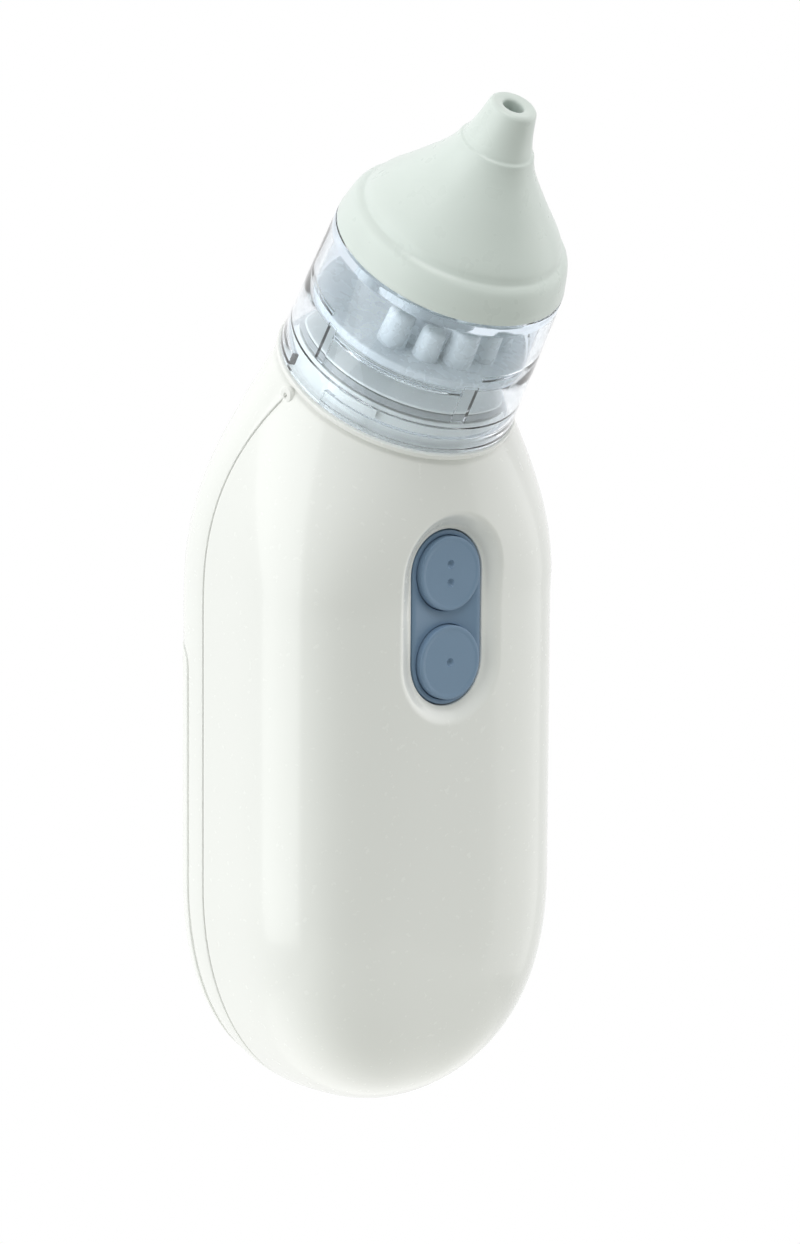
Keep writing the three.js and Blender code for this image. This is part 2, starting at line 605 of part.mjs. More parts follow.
// Three-pole armature on the shaft.
function armature() {
  const core = toSolid(rodX(MOTOR_X + 6, MOTOR_END - 4, 0, AXIS_Z, 2.6, 18));
  const poles = [0, 1, 2].map((k) => {
    const pole = block(-7, 7, -1.9, 1.9, 0, 5.2).rotateX((k * 2 * Math.PI) / 3);
    return toSolid(pole.translate((MOTOR_X + MOTOR_END) / 2 + 1, 0, AXIS_Z));
  });
  return cut(join(core, ...poles), shaftBore);
}
const HUB = [4.2, 7.6];
add(handle, "motor_armature", armature(), copper);
add(handle, "motor_shaft", rodX(MOTOR_X - 0.8, HUB[1] - 0.6, 0, AXIS_Z, 1), steel);

// ---------------------------------------------------------------- pump
const PIN_R = 1.2;
const EYE_R = PIN_R + 2 * THROW + 0.2;
const ROD = [8.4, 12.2];
const CLAMP_R = 2.6; // plates on the rod, either side of the diaphragm
const HEAD_Z = AXIS_Z + 8.4; // the pump head stacks up from here
const HOUSING = { x: [1.1, 19.6], y: 9.2, z: [AXIS_Z - 9, HEAD_Z] };
const DIAPHRAGM = [HEAD_Z + 0.1, HEAD_Z + 1.3];
const VALVES = [HEAD_Z + 1.4, HEAD_Z + 3.2];
const COVER = [HEAD_Z + 3.3, HEAD_Z + 5.5];
const PORT_TOP = COVER[1] + 3.6;
const INLET = [6.6, -2.6];
const OUTLET = [14, 2.6];
const PUMP_SCREWS = [45, 135, 225, 315].map((a) =>
  [PUMP_X + 8.1 * Math.cos(a * DEG), 8.1 * Math.sin(a * DEG)]);

function crankHub() {
  const hub = toSolid(rodX(...HUB, 0, AXIS_Z, 3.6, 20));
  const pin = toSolid(rodX(HUB[1] - 0.5, ROD[1] + 0.6, 0, AXIS_Z - THROW, PIN_R, 14));
  return cut(join(hub, pin), toSolid(rodX(0, HUB[1] - 0.55, 0, AXIS_Z, 1.06, 16)));
}

function connectingRod() {
  const eye = prismX(withHoles(disc(EYE_R + 1.5, 0, AXIS_Z), disc(EYE_R, 0, AXIS_Z)), ...ROD, 8);
  const stem = rodZ(PUMP_X, 0, AXIS_Z + EYE_R + 0.6, DIAPHRAGM[0] - 0.9, 1.4, 12);
  const plate = rodZ(PUMP_X, 0, DIAPHRAGM[0] - 1, DIAPHRAGM[0] - 0.1, CLAMP_R, 18);
  const neckPin = rodZ(PUMP_X, 0, DIAPHRAGM[0] - 0.2, DIAPHRAGM[1] + 0.05, 1.2, 12);
  return join(toSolid(eye), toSolid(stem), toSolid(plate), toSolid(neckPin));
}

function pumpHousing() {
  const body = toSolid(prismZ(roundedRect(HOUSING.x[1] - HOUSING.x[0], 2 * HOUSING.y, 2,
    (HOUSING.x[0] + HOUSING.x[1]) / 2, 0), ...HOUSING.z, 4));
  const crankCase = toSolid(rodX(3, 30, 0, AXIS_Z, 6.4, 24));
  const shaftHole = toSolid(rodX(0, 4, 0, AXIS_Z, 2.2, 16));
  const stemHole = toSolid(rodZ(PUMP_X, 0, AXIS_Z + 5, HOUSING.z[1] + 1, 4.2, 18));
  const chamber = toSolid(rodZ(PUMP_X, 0, HOUSING.z[1] - 1.9, HOUSING.z[1] + 1, 6.2, 24));
  const bores = PUMP_SCREWS.map(([x, y]) => toSolid(rodZ(x, y, HEAD_Z - 4, HEAD_Z + 1, 0.8, 8)));
  return cut(body, crankCase, shaftHole, stemHole, chamber, ...bores);
}

const PUMP_SCREW_HOLE = 0.85;
const VALVE_HOLE = 1.0;
const screwHoles = () => PUMP_SCREWS.map(([x, y]) => disc(PUMP_SCREW_HOLE, x, y));
const diaphragm = prismZ(withHoles(disc(PUMP_R, PUMP_X, 0), disc(CLAMP_R + GAP, PUMP_X, 0),
  ...screwHoles()), ...DIAPHRAGM, 6);
const valvePlate = prismZ(withHoles(disc(PUMP_R, PUMP_X, 0), disc(VALVE_HOLE, ...INLET),
  disc(VALVE_HOLE, ...OUTLET), disc(3.2, PUMP_X, 0), ...screwHoles()), ...VALVES, 6);

function pumpCover() {
  const lid = toSolid(prismZ(withHoles(disc(PUMP_R, PUMP_X, 0), ...screwHoles()), ...COVER, 6));
  const ports = [INLET, OUTLET].map((p) => toSolid(rodZ(...p, COVER[1] - 0.5, PORT_TOP, 1.6, 12)));
  const bores = [INLET, OUTLET].map((p) => toSolid(rodZ(...p, COVER[0] - 1, PORT_TOP + 1, 0.9, 8)));
  return cut(join(lid, ...ports), ...bores);
}

// Small screw: its head at z, its shank towards -Z.
const screwZ = (x, y, z) => turned([
  [0, -7.6], [0.4, -7.6], [0.65, -7], [0.65, 0], [1.15, 0], [1.15, 0.7], [0.8, 1], [0, 1],
], 8).translate(x, y, z);

add(handle, "crank_hub", crankHub(), brass);
add(handle, "connecting_rod", connectingRod(), greyPlastic);
add(handle, "rod_clamp", rodZ(PUMP_X, 0, DIAPHRAGM[1] + 0.1, DIAPHRAGM[1] + 0.9, CLAMP_R, 18), steel);
add(handle, "pump_housing", pumpHousing(), greyPlastic);
add(handle, "pump_diaphragm", diaphragm, blackRubber);
add(handle, "valve_plate", valvePlate, frostedPlastic);
add(handle, "pump_cover", pumpCover(), greyPlastic);
PUMP_SCREWS.forEach(([x, y], i) =>
  add(handle, `pump_screw_${i + 1}`, screwZ(x, y, COVER[1] + 0.05), steel));

// Silencer cap over the outlet port, open at the bottom.
add(handle, "exhaust_silencer", ring([
  [1.85, 0], [3, 0], [3, 4], [0.6, 4], [0.6, 3], [1.85, 3],
], 16).translate(...OUTLET, COVER[1] + 1.3), foam);

// ---------------------------------------------------------------- neck spigot
const PIPE_END = -10;
const NIPPLE_R = 1.6;
const LUG_TOP = 4.1;
const polar = (angle, r) => [r * Math.sin(angle * DEG), -r * Math.cos(angle * DEG)];

// Sector of a disc around the neck axis, from one angle to another, measured from the front.
function sector(from, to, r, z0, z1) {
  const shape = new THREE.Shape();
  shape.moveTo(0, 0);
  const steps = Math.ceil((to - from) / 8);
  for (let i = 0; i <= steps; i++) shape.lineTo(...polar(from + ((to - from) * i) / steps, r));
  return toSolid(prismZ(shape, z0, z1));
}

function neckSpigot() {
  const body = toSolid(turned([
    [NIPPLE_R, PIPE_END], [NIPPLE_R, -4.6], [3.2, -4.4], [3.2, 4.8], [14.8, 4.8], [14.8, 0.8],
    [12.3, -0.6], [12.3, -4.3], [15.2, -4.3], [15.2, LEDGE[0] - 0.2],
    [LEDGE_R - 0.3, LEDGE[0] - 0.2], [LEDGE_R - 0.3, LEDGE[1] + 0.2], [16.2, LEDGE[1] + 0.2],
    [16.2, -LIP + 0.05], [20.3, -LIP + 0.05], [20.3, -0.15],
    [20.1, 0], [SPIGOT_R, 0], [SPIGOT_R, 4.8], [16.1, 4.8], [16.1, 6.6], [SPIGOT_R, 6.6],
    [SPIGOT_R, SPIGOT_TOP - 0.3], [SPIGOT_R - 0.3, SPIGOT_TOP], [5.4, SPIGOT_TOP],
    [5.4, SPIGOT_TOP - 1.1], [1, SPIGOT_TOP - 1.1], [1, PIPE_END], [NIPPLE_R, PIPE_END],
  ], 28));
  const lugs = [0, 180].map((turn) => {
    const [a, b] = [LUG_ANGLE + turn - LUG_WIDTH / 2, LUG_ANGLE + turn + LUG_WIDTH / 2];
    return sector(a, b, 18.35, 2.5, LUG_TOP).subtract(toSolid(rodZ(0, 0, 2, 5, 16.6, 28)));
  });
  return join(body, ...lugs);
}

function sealRing(r, section, z) {
  return new THREE.TorusGeometry(r, section, 6, 28).translate(0, 0, z);
}

add(neck, "neck_spigot", neckSpigot(), whiteGloss);
add(neck, "spigot_seal", sealRing(16.85, 0.68, 5.7), greyPlastic);
add(neck, "port_filter", rodZ(0, 0, SPIGOT_TOP - 1, SPIGOT_TOP + 0.2, 5.1, 24), foam);

// Suction hose from the pump's inlet port to the spigot's pipe.
const pipe = (d) => [0, NECK_Y - d * Math.sin(TILT), NECK_Z + d * Math.cos(TILT)];
add(handle, "suction_hose", tube([
  [...INLET, COVER[1] + 0.6], [...INLET, PORT_TOP + 0.4], [INLET[0] - 2.2, -3.9, PORT_TOP + 3],
  pipe(PIPE_END - 1), pipe(PIPE_END + 2), pipe(-4.9),
], 2.5, { bore: 1.95, steps: 16, sides: 10 }), silicone);

// ---------------------------------------------------------------- cup
const wallAt = (z) => CUP_R[0] + ((CUP_R[1] - CUP_R[0]) * z) / CUP_TOP;

function collectionCup() {
  const body = toSolid(ring([
    [17.6, 0.15], [19.8, 0.15], [wallAt(0.5), 0.5], [wallAt(12), 12], [CUP_R[1], CUP_TOP],
    [COLLAR_R, CUP_TOP], [COLLAR_R, COLLAR_TOP - 0.3], [COLLAR_R - 0.3, COLLAR_TOP],
    [15.9, COLLAR_TOP], [15.9, 23.6], [17.5, 22.2], [18.1, FLOOR_Z], [17.7, FLOOR_Z],
    [17.7, 4.4], [18.6, 4.4], [18.6, 2.3], [17.6, 2.3],
  ], 32));
  const slots = [0, 180].map((turn) => {
    const middle = LUG_ANGLE - TWIST + turn;
    return sector(middle - ENTRY_WIDTH / 2, middle + ENTRY_WIDTH / 2, 18.6, -1, 3);
  });
  return cut(body, ...slots);
}

// Insert on the cup's ledge: floor, standpipe and drip ribs.
function cupInsert() {
  const floor = toSolid(turned([
    [1.8, FLOOR_Z - 2.4], [3.4, FLOOR_Z - 2.4], [3.4, FLOOR_Z - 0.1], [17.4, FLOOR_Z - 0.1],
    [17.4, FLOOR_Z + 0.1], [17.8, FLOOR_Z + 0.1], [17.8, FLOOR_Z + 1.5], [3.4, FLOOR_Z + 1.5],
    [2.9, 20.4], [1.8, 20.4], [1.8, FLOOR_Z - 2.4],
  ], 28));
  const ribs = [-52, -26, 0, 26, 52, 180].map((angle) => {
    const [x, y] = polar(angle, 12.4);
    return toSolid(rodZ(x, y, FLOOR_Z + 1, 19.5, 2.1, 8));
  });
  return join(floor, ...ribs);
}

// Mushroom hood over the standpipe that keeps fluid out of the air path.
const splashGuard = () => {
  const hood = toSolid(turned([
    [0, 21.2], [6.2, 21.2], [6.2, 18.6], [7.4, 18.6], [7.4, 21.4], [6.6, 22.6], [4, 23.4],
    [0, 23.7],
  ], 20));
  const legs = [60, 180, 300].map((angle) => {
    const [x, y] = polar(angle, 3.2);
    return toSolid(rodZ(x, y, 20.5, 21.6, 0.7, 8));
  });
  return join(hood, ...legs);
};

add(neck, "collection_cup", collectionCup(), clearPlastic);
add(neck, "cup_insert", cupInsert(), frostedPlastic);
add(neck, "splash_guard", splashGuard(), frostedPlastic);

// ---------------------------------------------------------------- silicone tip
function nozzleTip() {
  const smooth = (points, count) =>
    new THREE.SplineCurve(points.map(([r, z]) => new THREE.Vector2(r, z)))
      .getPoints(count).map((p) => [p.x, p.y]);
  const outside = smooth([
    [19.2, 25], [18.75, 27.2], [17.2, 30.6], [13.5, 35.5], [9.8, 40], [6.9, 44.2], [5.3, 47.8],
    [4.5, 50.8], [4.3, 52.8],
  ], 11);
  const inside = smooth([
    [TIP_BORE, 49.5], [3.3, 46.2], [5.6, 42.6], [8.6, 38.8], [12.4, 34.2], [16.2, 29.8],
    [17.35, 28.2],
  ], 6);
  return ring([
    [17.35, 25], ...outside, [3.9, 53.5], [3.1, TIP_END], [TIP_BORE, TIP_END - 0.1], ...inside,
  ], 28);
}

add(neck, "nozzle_tip", nozzleTip(), silicone);

// ---------------------------------------------------------------- wiring
const lead = (name, points, material) =>
  add(handle, name, tube(points, 0.55, { steps: 10, sides: 6 }), material);
const behindBoard = BOARD.y[1] + 1;
lead("motor_lead_plus", [
  [MOTOR_X + 1, -2.5, 96.2], [MOTOR_X + 3, -5, 98.5], [-17, -9, 100], [-13.5, behindBoard, 97],
], redWire);
lead("motor_lead_minus", [
  [MOTOR_X + 1, 2.5, 96.2], [MOTOR_X + 4, 0, 99.5], [-16.5, -7, 102.5], [-8, behindBoard, 99.5],
], blackWire);
lead("battery_lead_plus", [
  [-3.2, -2.6, 76.7], [-3.6, -6.5, 76.5], [-7, -10, 73], [-8.5, behindBoard, 69],
], redWire);
lead("battery_lead_minus", [
  [-1.2, -2.6, 76.7], [-1.2, -6.5, 76.5], [-3, -10, 72.5], [-4, behindBoard, 68],
], blackWire);

export default model;
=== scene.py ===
"""Nasal aspirator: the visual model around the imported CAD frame.

Shapes are worked out in millimetres in the row frame and written to the meshes in metres.
"""
import json
import math

import bmesh
import bpy
import numpy as np
from mathutils import Matrix, Vector


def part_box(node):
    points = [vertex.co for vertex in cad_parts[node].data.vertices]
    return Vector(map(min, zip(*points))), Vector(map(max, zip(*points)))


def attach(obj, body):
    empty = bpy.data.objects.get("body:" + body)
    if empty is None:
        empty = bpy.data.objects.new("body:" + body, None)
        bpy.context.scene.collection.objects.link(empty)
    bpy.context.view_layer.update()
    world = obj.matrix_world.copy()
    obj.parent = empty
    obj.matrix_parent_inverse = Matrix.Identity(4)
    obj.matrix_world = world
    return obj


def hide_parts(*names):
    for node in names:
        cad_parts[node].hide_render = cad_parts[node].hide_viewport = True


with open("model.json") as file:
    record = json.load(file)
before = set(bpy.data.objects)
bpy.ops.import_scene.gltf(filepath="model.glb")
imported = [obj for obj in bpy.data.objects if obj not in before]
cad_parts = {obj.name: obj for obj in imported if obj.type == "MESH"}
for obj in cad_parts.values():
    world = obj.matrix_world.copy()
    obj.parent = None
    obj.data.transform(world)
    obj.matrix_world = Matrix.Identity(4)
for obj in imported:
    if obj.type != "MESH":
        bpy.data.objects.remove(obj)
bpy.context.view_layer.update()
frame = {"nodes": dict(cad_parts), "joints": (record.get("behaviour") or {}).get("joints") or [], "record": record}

MM = 0.001
JOINTS = {joint["name"]: joint for joint in frame["joints"]}


def corners(node):
    """Lowest and highest corner of a CAD node, in millimetres."""
    return [np.array(corner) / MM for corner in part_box(node)]


def middle(node):
    low, high = corners(node)
    return (low + high) / 2


# ------------------------------------------------------------------ driving sizes, mm
NECK_AXIS = np.array(JOINTS["cup_twist"]["axis"])
SEAT = np.array(JOINTS["cup_twist"]["pos_m"]) / MM  # centre of the cup's seat
TILT = math.atan2(-NECK_AXIS[1], NECK_AXIS[2])
NECK_RADIUS = 19.6
LIP = 0.9  # spigot's flange, between the end of the neck and the cup's seat
HALF_WIDTH = 28.8
FRONT_DEPTH = 25.6
BACK_DEPTH = 15.0
SQUARENESS = 3.75
POLE_SQUARENESS = 2.2
POLE_BLEND = 4.5
BEND_RADIUS = 68.0
NECK_STRAIGHT = 0.1
# length along the spine and power of each curve, on the sides, in front and behind
BOTTOM_CAP = {"side": (37.9, 2.09), "front": (39.2, 2.95), "back": (25.5, 2.0)}
TAPER = {"side": (31.3, 2.35), "front": (29.4, 2.2), "back": (24.5, 3.2)}
SEAM_BODY = 2.3
SEAM_NECK = 0.8
SEAM_GAP = 0.3
DOOR_SEAM = 6.7
DOOR_TOP = 77.0
DOOR_CORNER = 4.5
DOOR_GAP = 0.15
DOOR_PROUD = 0.25
PROUD_DEPTH, PROUD_FADE = 8.0, 5.0  # behind the spine, where the proud side fades out
PROUD_START = 12.0  # height over which it rises from the bottom
GRIPS = (68.45, 70.85, 73.25)  # ridges across the door's back
SKIN = 1.2  # thickness of the finely meshed outer skin
LIP_RADIUS = 0.2  # rounding of a moulded edge

NECK_END = SEAT - LIP * NECK_AXIS
SPINE_Y = (NECK_END[1] + BEND_RADIUS * (1 - math.cos(TILT)) + NECK_STRAIGHT * math.sin(TILT))
BEND_START = NECK_END[2] - BEND_RADIUS * math.sin(TILT) - NECK_STRAIGHT * math.cos(TILT)
SPINE_LENGTH = BEND_START + BEND_RADIUS * TILT + NECK_STRAIGHT

PANEL = middle("button_plate")
PLATE_Y = corners("button_plate")[0][1]
PANEL_RADIUS = 7.0
PANEL_HALF = 7.1
PANEL_HOLE = 7.4
DISH_FLOOR = 7.5
DISH_RIM = 10.4
DISH_MARGIN = 2.4  # from the dish to the opening that its rings close
EYELET = np.array([-21.0, SEAM_NECK, -2.6])  # neck frame, end of the strap eye
EYE_RADIUS, EYE_BORE, EYE_LENGTH = 1.35, 0.42, 3.0


# ------------------------------------------------------------------ handle surface
def along(s, length):
    """0 up to the start of the last stretch of the spine, and 1 at its end."""
    return np.clip((s - SPINE_LENGTH + length) / length, 0, 1)


def in_cap(s, length, inset):
    """1 at the bottom pole, and 0 from the end of the cap upwards."""
    return np.clip(1 - (s - inset) / (length - inset), 0, 1)


def reach(side, size, s, inset=0.0):
    """Distance from the spine to the surface on a side whose full size is given."""
    taper_length, taper_power = TAPER[side]
    cap_length, cap_power = BOTTOM_CAP[side]
    full = size - (size - NECK_RADIUS) * along(s, taper_length) ** taper_power - inset
    return full * (1 - in_cap(s, cap_length, inset) ** cap_power) ** (1 / cap_power)


def squareness(s, inset=0.0):
    pole = in_cap(s, BOTTOM_CAP["side"][0], inset) ** POLE_BLEND
    body = SQUARENESS + (POLE_SQUARENESS - SQUARENESS) * pole
    return body + (2 - body) * along(s, TAPER["side"][0])


def seam_at(s):
    return SEAM_BODY + (SEAM_NECK - SEAM_BODY) * along(s, TAPER["side"][0])


def placed(x, v, s):
    """Row-frame points at x, v behind the spine and s along it."""
    turn = np.clip((s - BEND_START) / BEND_RADIUS, 0, TILT)
    past = np.maximum(0, s - BEND_START - BEND_RADIUS * TILT)
    y = SPINE_Y - BEND_RADIUS * (1 - np.cos(turn)) - past * math.sin(TILT)
    z = np.where(s < BEND_START, s,
                 BEND_START + BEND_RADIUS * np.sin(turn) + past * math.cos(TILT))
    return np.stack(np.broadcast_arrays(x, y + v * np.cos(turn), z + v * np.sin(turn)), -1)


def section(s, angle, inset=0.0):
    """x and v at an angle round the section: 0 in front, positive towards +X, pi behind."""
    n = squareness(s, inset)
    w = reach("side", HALF_WIDTH, s, inset)
    deep = np.where(np.cos(angle) > 0, reach("front", FRONT_DEPTH, s, inset),
                    reach("back", BACK_DEPTH, s, inset))
    sine, cosine = np.sin(angle), np.cos(angle)
    radius = (np.abs(sine) ** n + np.abs(cosine) ** n) ** (-1 / n)
    return w * radius * sine, -deep * radius * cosine


def angle_behind(s, v):
    """Angle of the section point that lies v behind the spine, on the +X side."""
    n = squareness(s)
    level = np.clip(v / np.maximum(reach("back", BACK_DEPTH, s), 1e-6), 0, 1)
    return math.pi / 2 + np.arctan2(level, (1 - level ** n) ** (1 / n))


def pole_of(v):
    """Lowest s at which the back of the section reaches v."""
    cap_length, cap_power = BOTTOM_CAP["back"]
    return cap_length * (1 - (1 - (v / BACK_DEPTH) ** cap_power) ** (1 / cap_power))


def stations(start, end, cap_steps=34, step=1.5):
    """Values of s, dense near the bottom pole and even above the cap."""
    cap = BOTTOM_CAP["side"][0]
    turn = np.linspace(0, math.pi / 2, cap_steps + 1)
    low = start + (cap - start) * (1 - np.cos(turn))
    count = max(2, round((end - cap) / step))
    return np.concatenate([low, np.linspace(cap, end, count + 1)[1:]])


HALVINGS = 40  # steps of the search for a height on the surface


def front_face(x, z):
    """y of the handle's front at x and z."""
    low, high = z - 8.0, z + 30.0
    for _ in range(HALVINGS):
        s = (low + high) / 2
        n, w = squareness(s), reach("side", HALF_WIDTH, s)
        v = -reach("front", FRONT_DEPTH, s) * (1 - np.abs(x / w) ** n) ** (1 / n)
        point = placed(x, v, s)
        above = point[..., 2] > z
        low, high = np.where(above, low, s), np.where(above, s, high)
    return point[..., 1]


# ------------------------------------------------------------------ mesh tools
SHARP = 35.0  # degrees: edges sharper than this stay crisp


def smooth_step(t):
    t = np.clip(t, 0, 1)
    return t * t * (3 - 2 * t)


def grid_faces(rows, columns, closed=False, first=0):
    """Quads of a grid whose points are counted row by row from first."""
    faces = []
    for i in range(rows - 1):
        for j in range(columns if closed else columns - 1):
            k = (j + 1) % columns
            a, b = first + i * columns, first + (i + 1) * columns
            faces.append((a + j, a + k, b + k, b + j))
    return faces


def welded(points, faces, tolerance=2e-4):
    """Merges coincident points and drops faces that vanish."""
    keys = np.round(points / tolerance).astype(np.int64)
    _, first, index = np.unique(keys, axis=0, return_index=True, return_inverse=True)
    index = index.reshape(-1)
    kept = []
    for face in faces:
        ring = []
        for i in index[list(face)]:
            if i not in ring:
                ring.append(int(i))
        if len(ring) > 2:
            kept.append(tuple(ring))
    return points[first], kept


def normals_of(points, faces):
    normals = np.zeros_like(points)
    for face in faces:
        ring = points[list(face)]
        flat = np.cross(ring[1] - ring[0], ring[-1] - ring[0])
        if len(face) == 4:
            flat = np.cross(ring[2] - ring[0], ring[3] - ring[1])
        for i in face:
            normals[i] += flat
    return normals / np.maximum(np.linalg.norm(normals, axis=1, keepdims=True), 1e-12)


def boundary_loops(faces):
    """Loops of points along the open edges, each run with its face on the left."""
    after, shared = {}, set()
    for face in faces:
        for a, b in zip(face, face[1:] + face[:1]):
            if (b, a) in shared:
                shared.discard((b, a))
            else:
                shared.add((a, b))
    for a, b in shared:
        after[a] = b
    loops = []
    while after:
        start, point = next(iter(after.items()))
        del after[start]
        loop = [start]
        while point != start:
            loop.append(point)
            point = after.pop(point)
        loops.append(loop)
    return loops


def thickened(points, faces, depth=SKIN, radius=LIP_RADIUS):
    """Closed skin of an open sheet, rounded over along its edges, which move out by radius."""
    points, faces = welded(points, faces)
    normals = normals_of(points, faces)
    count = len(points)
    blocks = [points, points - normals * depth]
    closed = list(faces) + [tuple(i + count for i in face[::-1]) for face in faces]
    total = 2 * count
    for loop in boundary_loops(faces):
        ring, normal = points[loop], normals[loop]
        edge = np.roll(ring, -1, 0) - np.roll(ring, 1, 0)
        outward = np.cross(edge, normal)
        outward /= np.maximum(np.linalg.norm(outward, axis=1, keepdims=True), 1e-12)
        previous = loop
        steps = [(radius * math.sin(a), radius * (1 - math.cos(a)))
                 for a in np.radians([30, 60, 90])]
        for shift, sink in steps + [(radius, depth)]:
            blocks.append(ring + outward * shift - normal * sink)
            fresh = list(range(total, total + len(loop)))
            total += len(loop)
            closed += strip_faces(previous, fresh)
            previous = fresh
        closed += strip_faces(previous, [i + count for i in loop])
    return np.concatenate(blocks), closed


def strip_faces(near, far):
    """Quads between two closed rings of equal size."""
    return list(zip(near, far, far[1:] + far[:1], near[1:] + near[:1]))


def new_piece(name, shape, slot, body, replaces=None):
    """Mesh object from (points in millimetres, faces), riding on a body."""
    points, faces = shape
    mesh = bpy.data.meshes.new(name)
    mesh.from_pydata((np.asarray(points) * MM).tolist(), [], faces)
    mesh.validate()
    mesh.polygons.foreach_set("use_smooth", [True] * len(mesh.polygons))
    mesh.set_sharp_from_angle(angle=math.radians(SHARP))
    piece = bpy.data.objects.new(name, mesh)
    bpy.context.scene.collection.objects.link(piece)
    mesh.materials.append(FINISH[slot])
    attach(piece, body)
    if replaces:
        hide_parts(replaces)
    return piece


def boolean(first, second, operation):
    """Shape of two closed shapes cut or joined exactly."""
    objects = []
    for points, faces in (first, second):
        mesh = bpy.data.meshes.new("tool")
        mesh.from_pydata(np.asarray(points).tolist(), [], faces)
        objects.append(bpy.data.objects.new("tool", mesh))
        bpy.context.scene.collection.objects.link(objects[-1])
    modifier = objects[0].modifiers.new("cut", "BOOLEAN")
    modifier.operation = operation
    modifier.solver = "EXACT"
    modifier.object = objects[1]
    graph = bpy.context.evaluated_depsgraph_get()
    result = bpy.data.meshes.new_from_object(objects[0].evaluated_get(graph))
    points = np.array([vertex.co for vertex in result.vertices]).reshape(-1, 3)
    faces = [tuple(polygon.vertices) for polygon in result.polygons]
    bpy.data.meshes.remove(result)
    for item in objects:
        bpy.data.meshes.remove(item.data)
    return points, faces


def cad_shape(name):
    """A CAD node's own surface in millimetres, welded closed."""
    mesh = frame["nodes"][name].data
    points = np.array([vertex.co for vertex in mesh.vertices]) / MM
    return welded(points, [tuple(polygon.vertices) for polygon in mesh.polygons])


def combined(*parts):
    """One list of points and one of faces from several."""
    points, faces, first = [], [], 0
    for part_points, part_faces in parts:
        points.append(part_points)
        faces += [tuple(i + first for i in face) for face in part_faces]
        first += len(part_points)
    return np.concatenate(points), faces


# ------------------------------------------------------------------ turned pieces
def filleted(outline, closed=True, steps=4):
    """Points of an outline of (r, z, fillet radius), its corners rounded."""
    count = len(outline)
    result = []
    for i, (r, z, fillet) in enumerate(outline):
        corner = np.array([r, z], float)
        if fillet <= 0 or (not closed and i in (0, count - 1)):
            result.append(corner)
            continue
        before = np.array(outline[i - 1][:2], float) - corner
        after = np.array(outline[(i + 1) % count][:2], float) - corner
        before_length, after_length = np.linalg.norm(before), np.linalg.norm(after)
        before, after = before / before_length, after / after_length
        half = math.acos(np.clip(before @ after, -1, 1)) / 2
        if half > math.radians(88):
            result.append(corner)
            continue
        reach_back = min(fillet / math.tan(half), 0.48 * before_length, 0.48 * after_length)
        radius = reach_back * math.tan(half)
        bisector = (before + after) / np.linalg.norm(before + after)
        centre = corner + bisector * radius / math.sin(half)
        start, end = corner + before * reach_back, corner + after * reach_back
        first, last = np.arctan2(*(start - centre)[::-1]), np.arctan2(*(end - centre)[::-1])
        sweep = (last - first + math.pi) % (2 * math.pi) - math.pi
        for k in range(steps + 1):
            angle = first + sweep * k / steps
            result.append(centre + radius * np.array([math.cos(angle), math.sin(angle)]))
    return np.array(result)


NECK_FRAME = np.array(Matrix.Rotation(TILT, 3, "X"))


def in_neck(points):
    """Neck-frame points (its +Z is the neck axis, from the seat) in the row frame."""
    return points @ NECK_FRAME.T + SEAT


def round_neck(radius, angle, height):
    """Neck-frame points at an angle in degrees from the front, positive towards +X."""
    turn = np.radians(angle)
    return np.stack(np.broadcast_arrays(radius * np.sin(turn), -radius * np.cos(turn), height), -1)


def turned(profile, segments):
    """Closed solid turned about the neck axis from (r, z) points that run anticlockwise."""
    angle = (np.arange(segments) * 360.0 / segments)[None, :]
    r, z = profile[:, 0][:, None], profile[:, 1][:, None]
    points = round_neck(r, angle, z).reshape(-1, 3)
    faces = grid_faces(len(profile), segments, closed=True)
    last = (len(profile) - 1) * segments
    for j in range(segments):
        k = (j + 1) % segments
        faces.append((last + j, last + k, k, j))
    return welded(points, faces)


# ------------------------------------------------------------------ camera and light
AIM = np.array([0, SPINE_Y, 60.0])  # a point on the handle's spine
CAMERA_AZIMUTH = math.radians(-38.34)
CAMERA_ELEVATION = math.radians(9.58)
CAMERA_ROLL = math.radians(0.373)
CAMERA_DISTANCE = 897.4
CAMERA_OFFSET = (7.77, 18.25)  # mm the camera stands right of and above the aimed line
LENS = 158.41
SENSOR = 36.0


def make_camera():
    azimuth, elevation = CAMERA_AZIMUTH, CAMERA_ELEVATION
    back = np.array([math.sin(azimuth) * math.cos(elevation),
                     -math.cos(azimuth) * math.cos(elevation), math.sin(elevation)])
    level = np.array([math.cos(azimuth), math.sin(azimuth), 0])
    over = np.cross(back, level)
    right = level * math.cos(CAMERA_ROLL) + over * math.sin(CAMERA_ROLL)
    up = over * math.cos(CAMERA_ROLL) - level * math.sin(CAMERA_ROLL)
    place = AIM + back * CAMERA_DISTANCE + right * CAMERA_OFFSET[0] + up * CAMERA_OFFSET[1]
    data = bpy.data.cameras.new("camera")
    data.sensor_fit = "VERTICAL"
    data.sensor_height = SENSOR
    data.lens = LENS
    data.clip_end = 20
    camera = bpy.data.objects.new("camera", data)
    axes = Matrix([right, up, back]).transposed().to_4x4()
    camera.matrix_world = Matrix.Translation(Vector(place * MM)) @ axes
    bpy.context.scene.collection.objects.link(camera)
    bpy.context.scene.camera = camera


BRIGHT_SIDE = (0.45, 0.887, -0.1)  # direction of the brightest surround
SURROUND_BRIGHT = (1.0, 1.0, 1.0, 1)
SURROUND_DIM = (0.30, 0.314, 0.292, 1)
LIT_POINT = Vector((0, SPINE_Y * MM, 0.09))  # what the lamps face


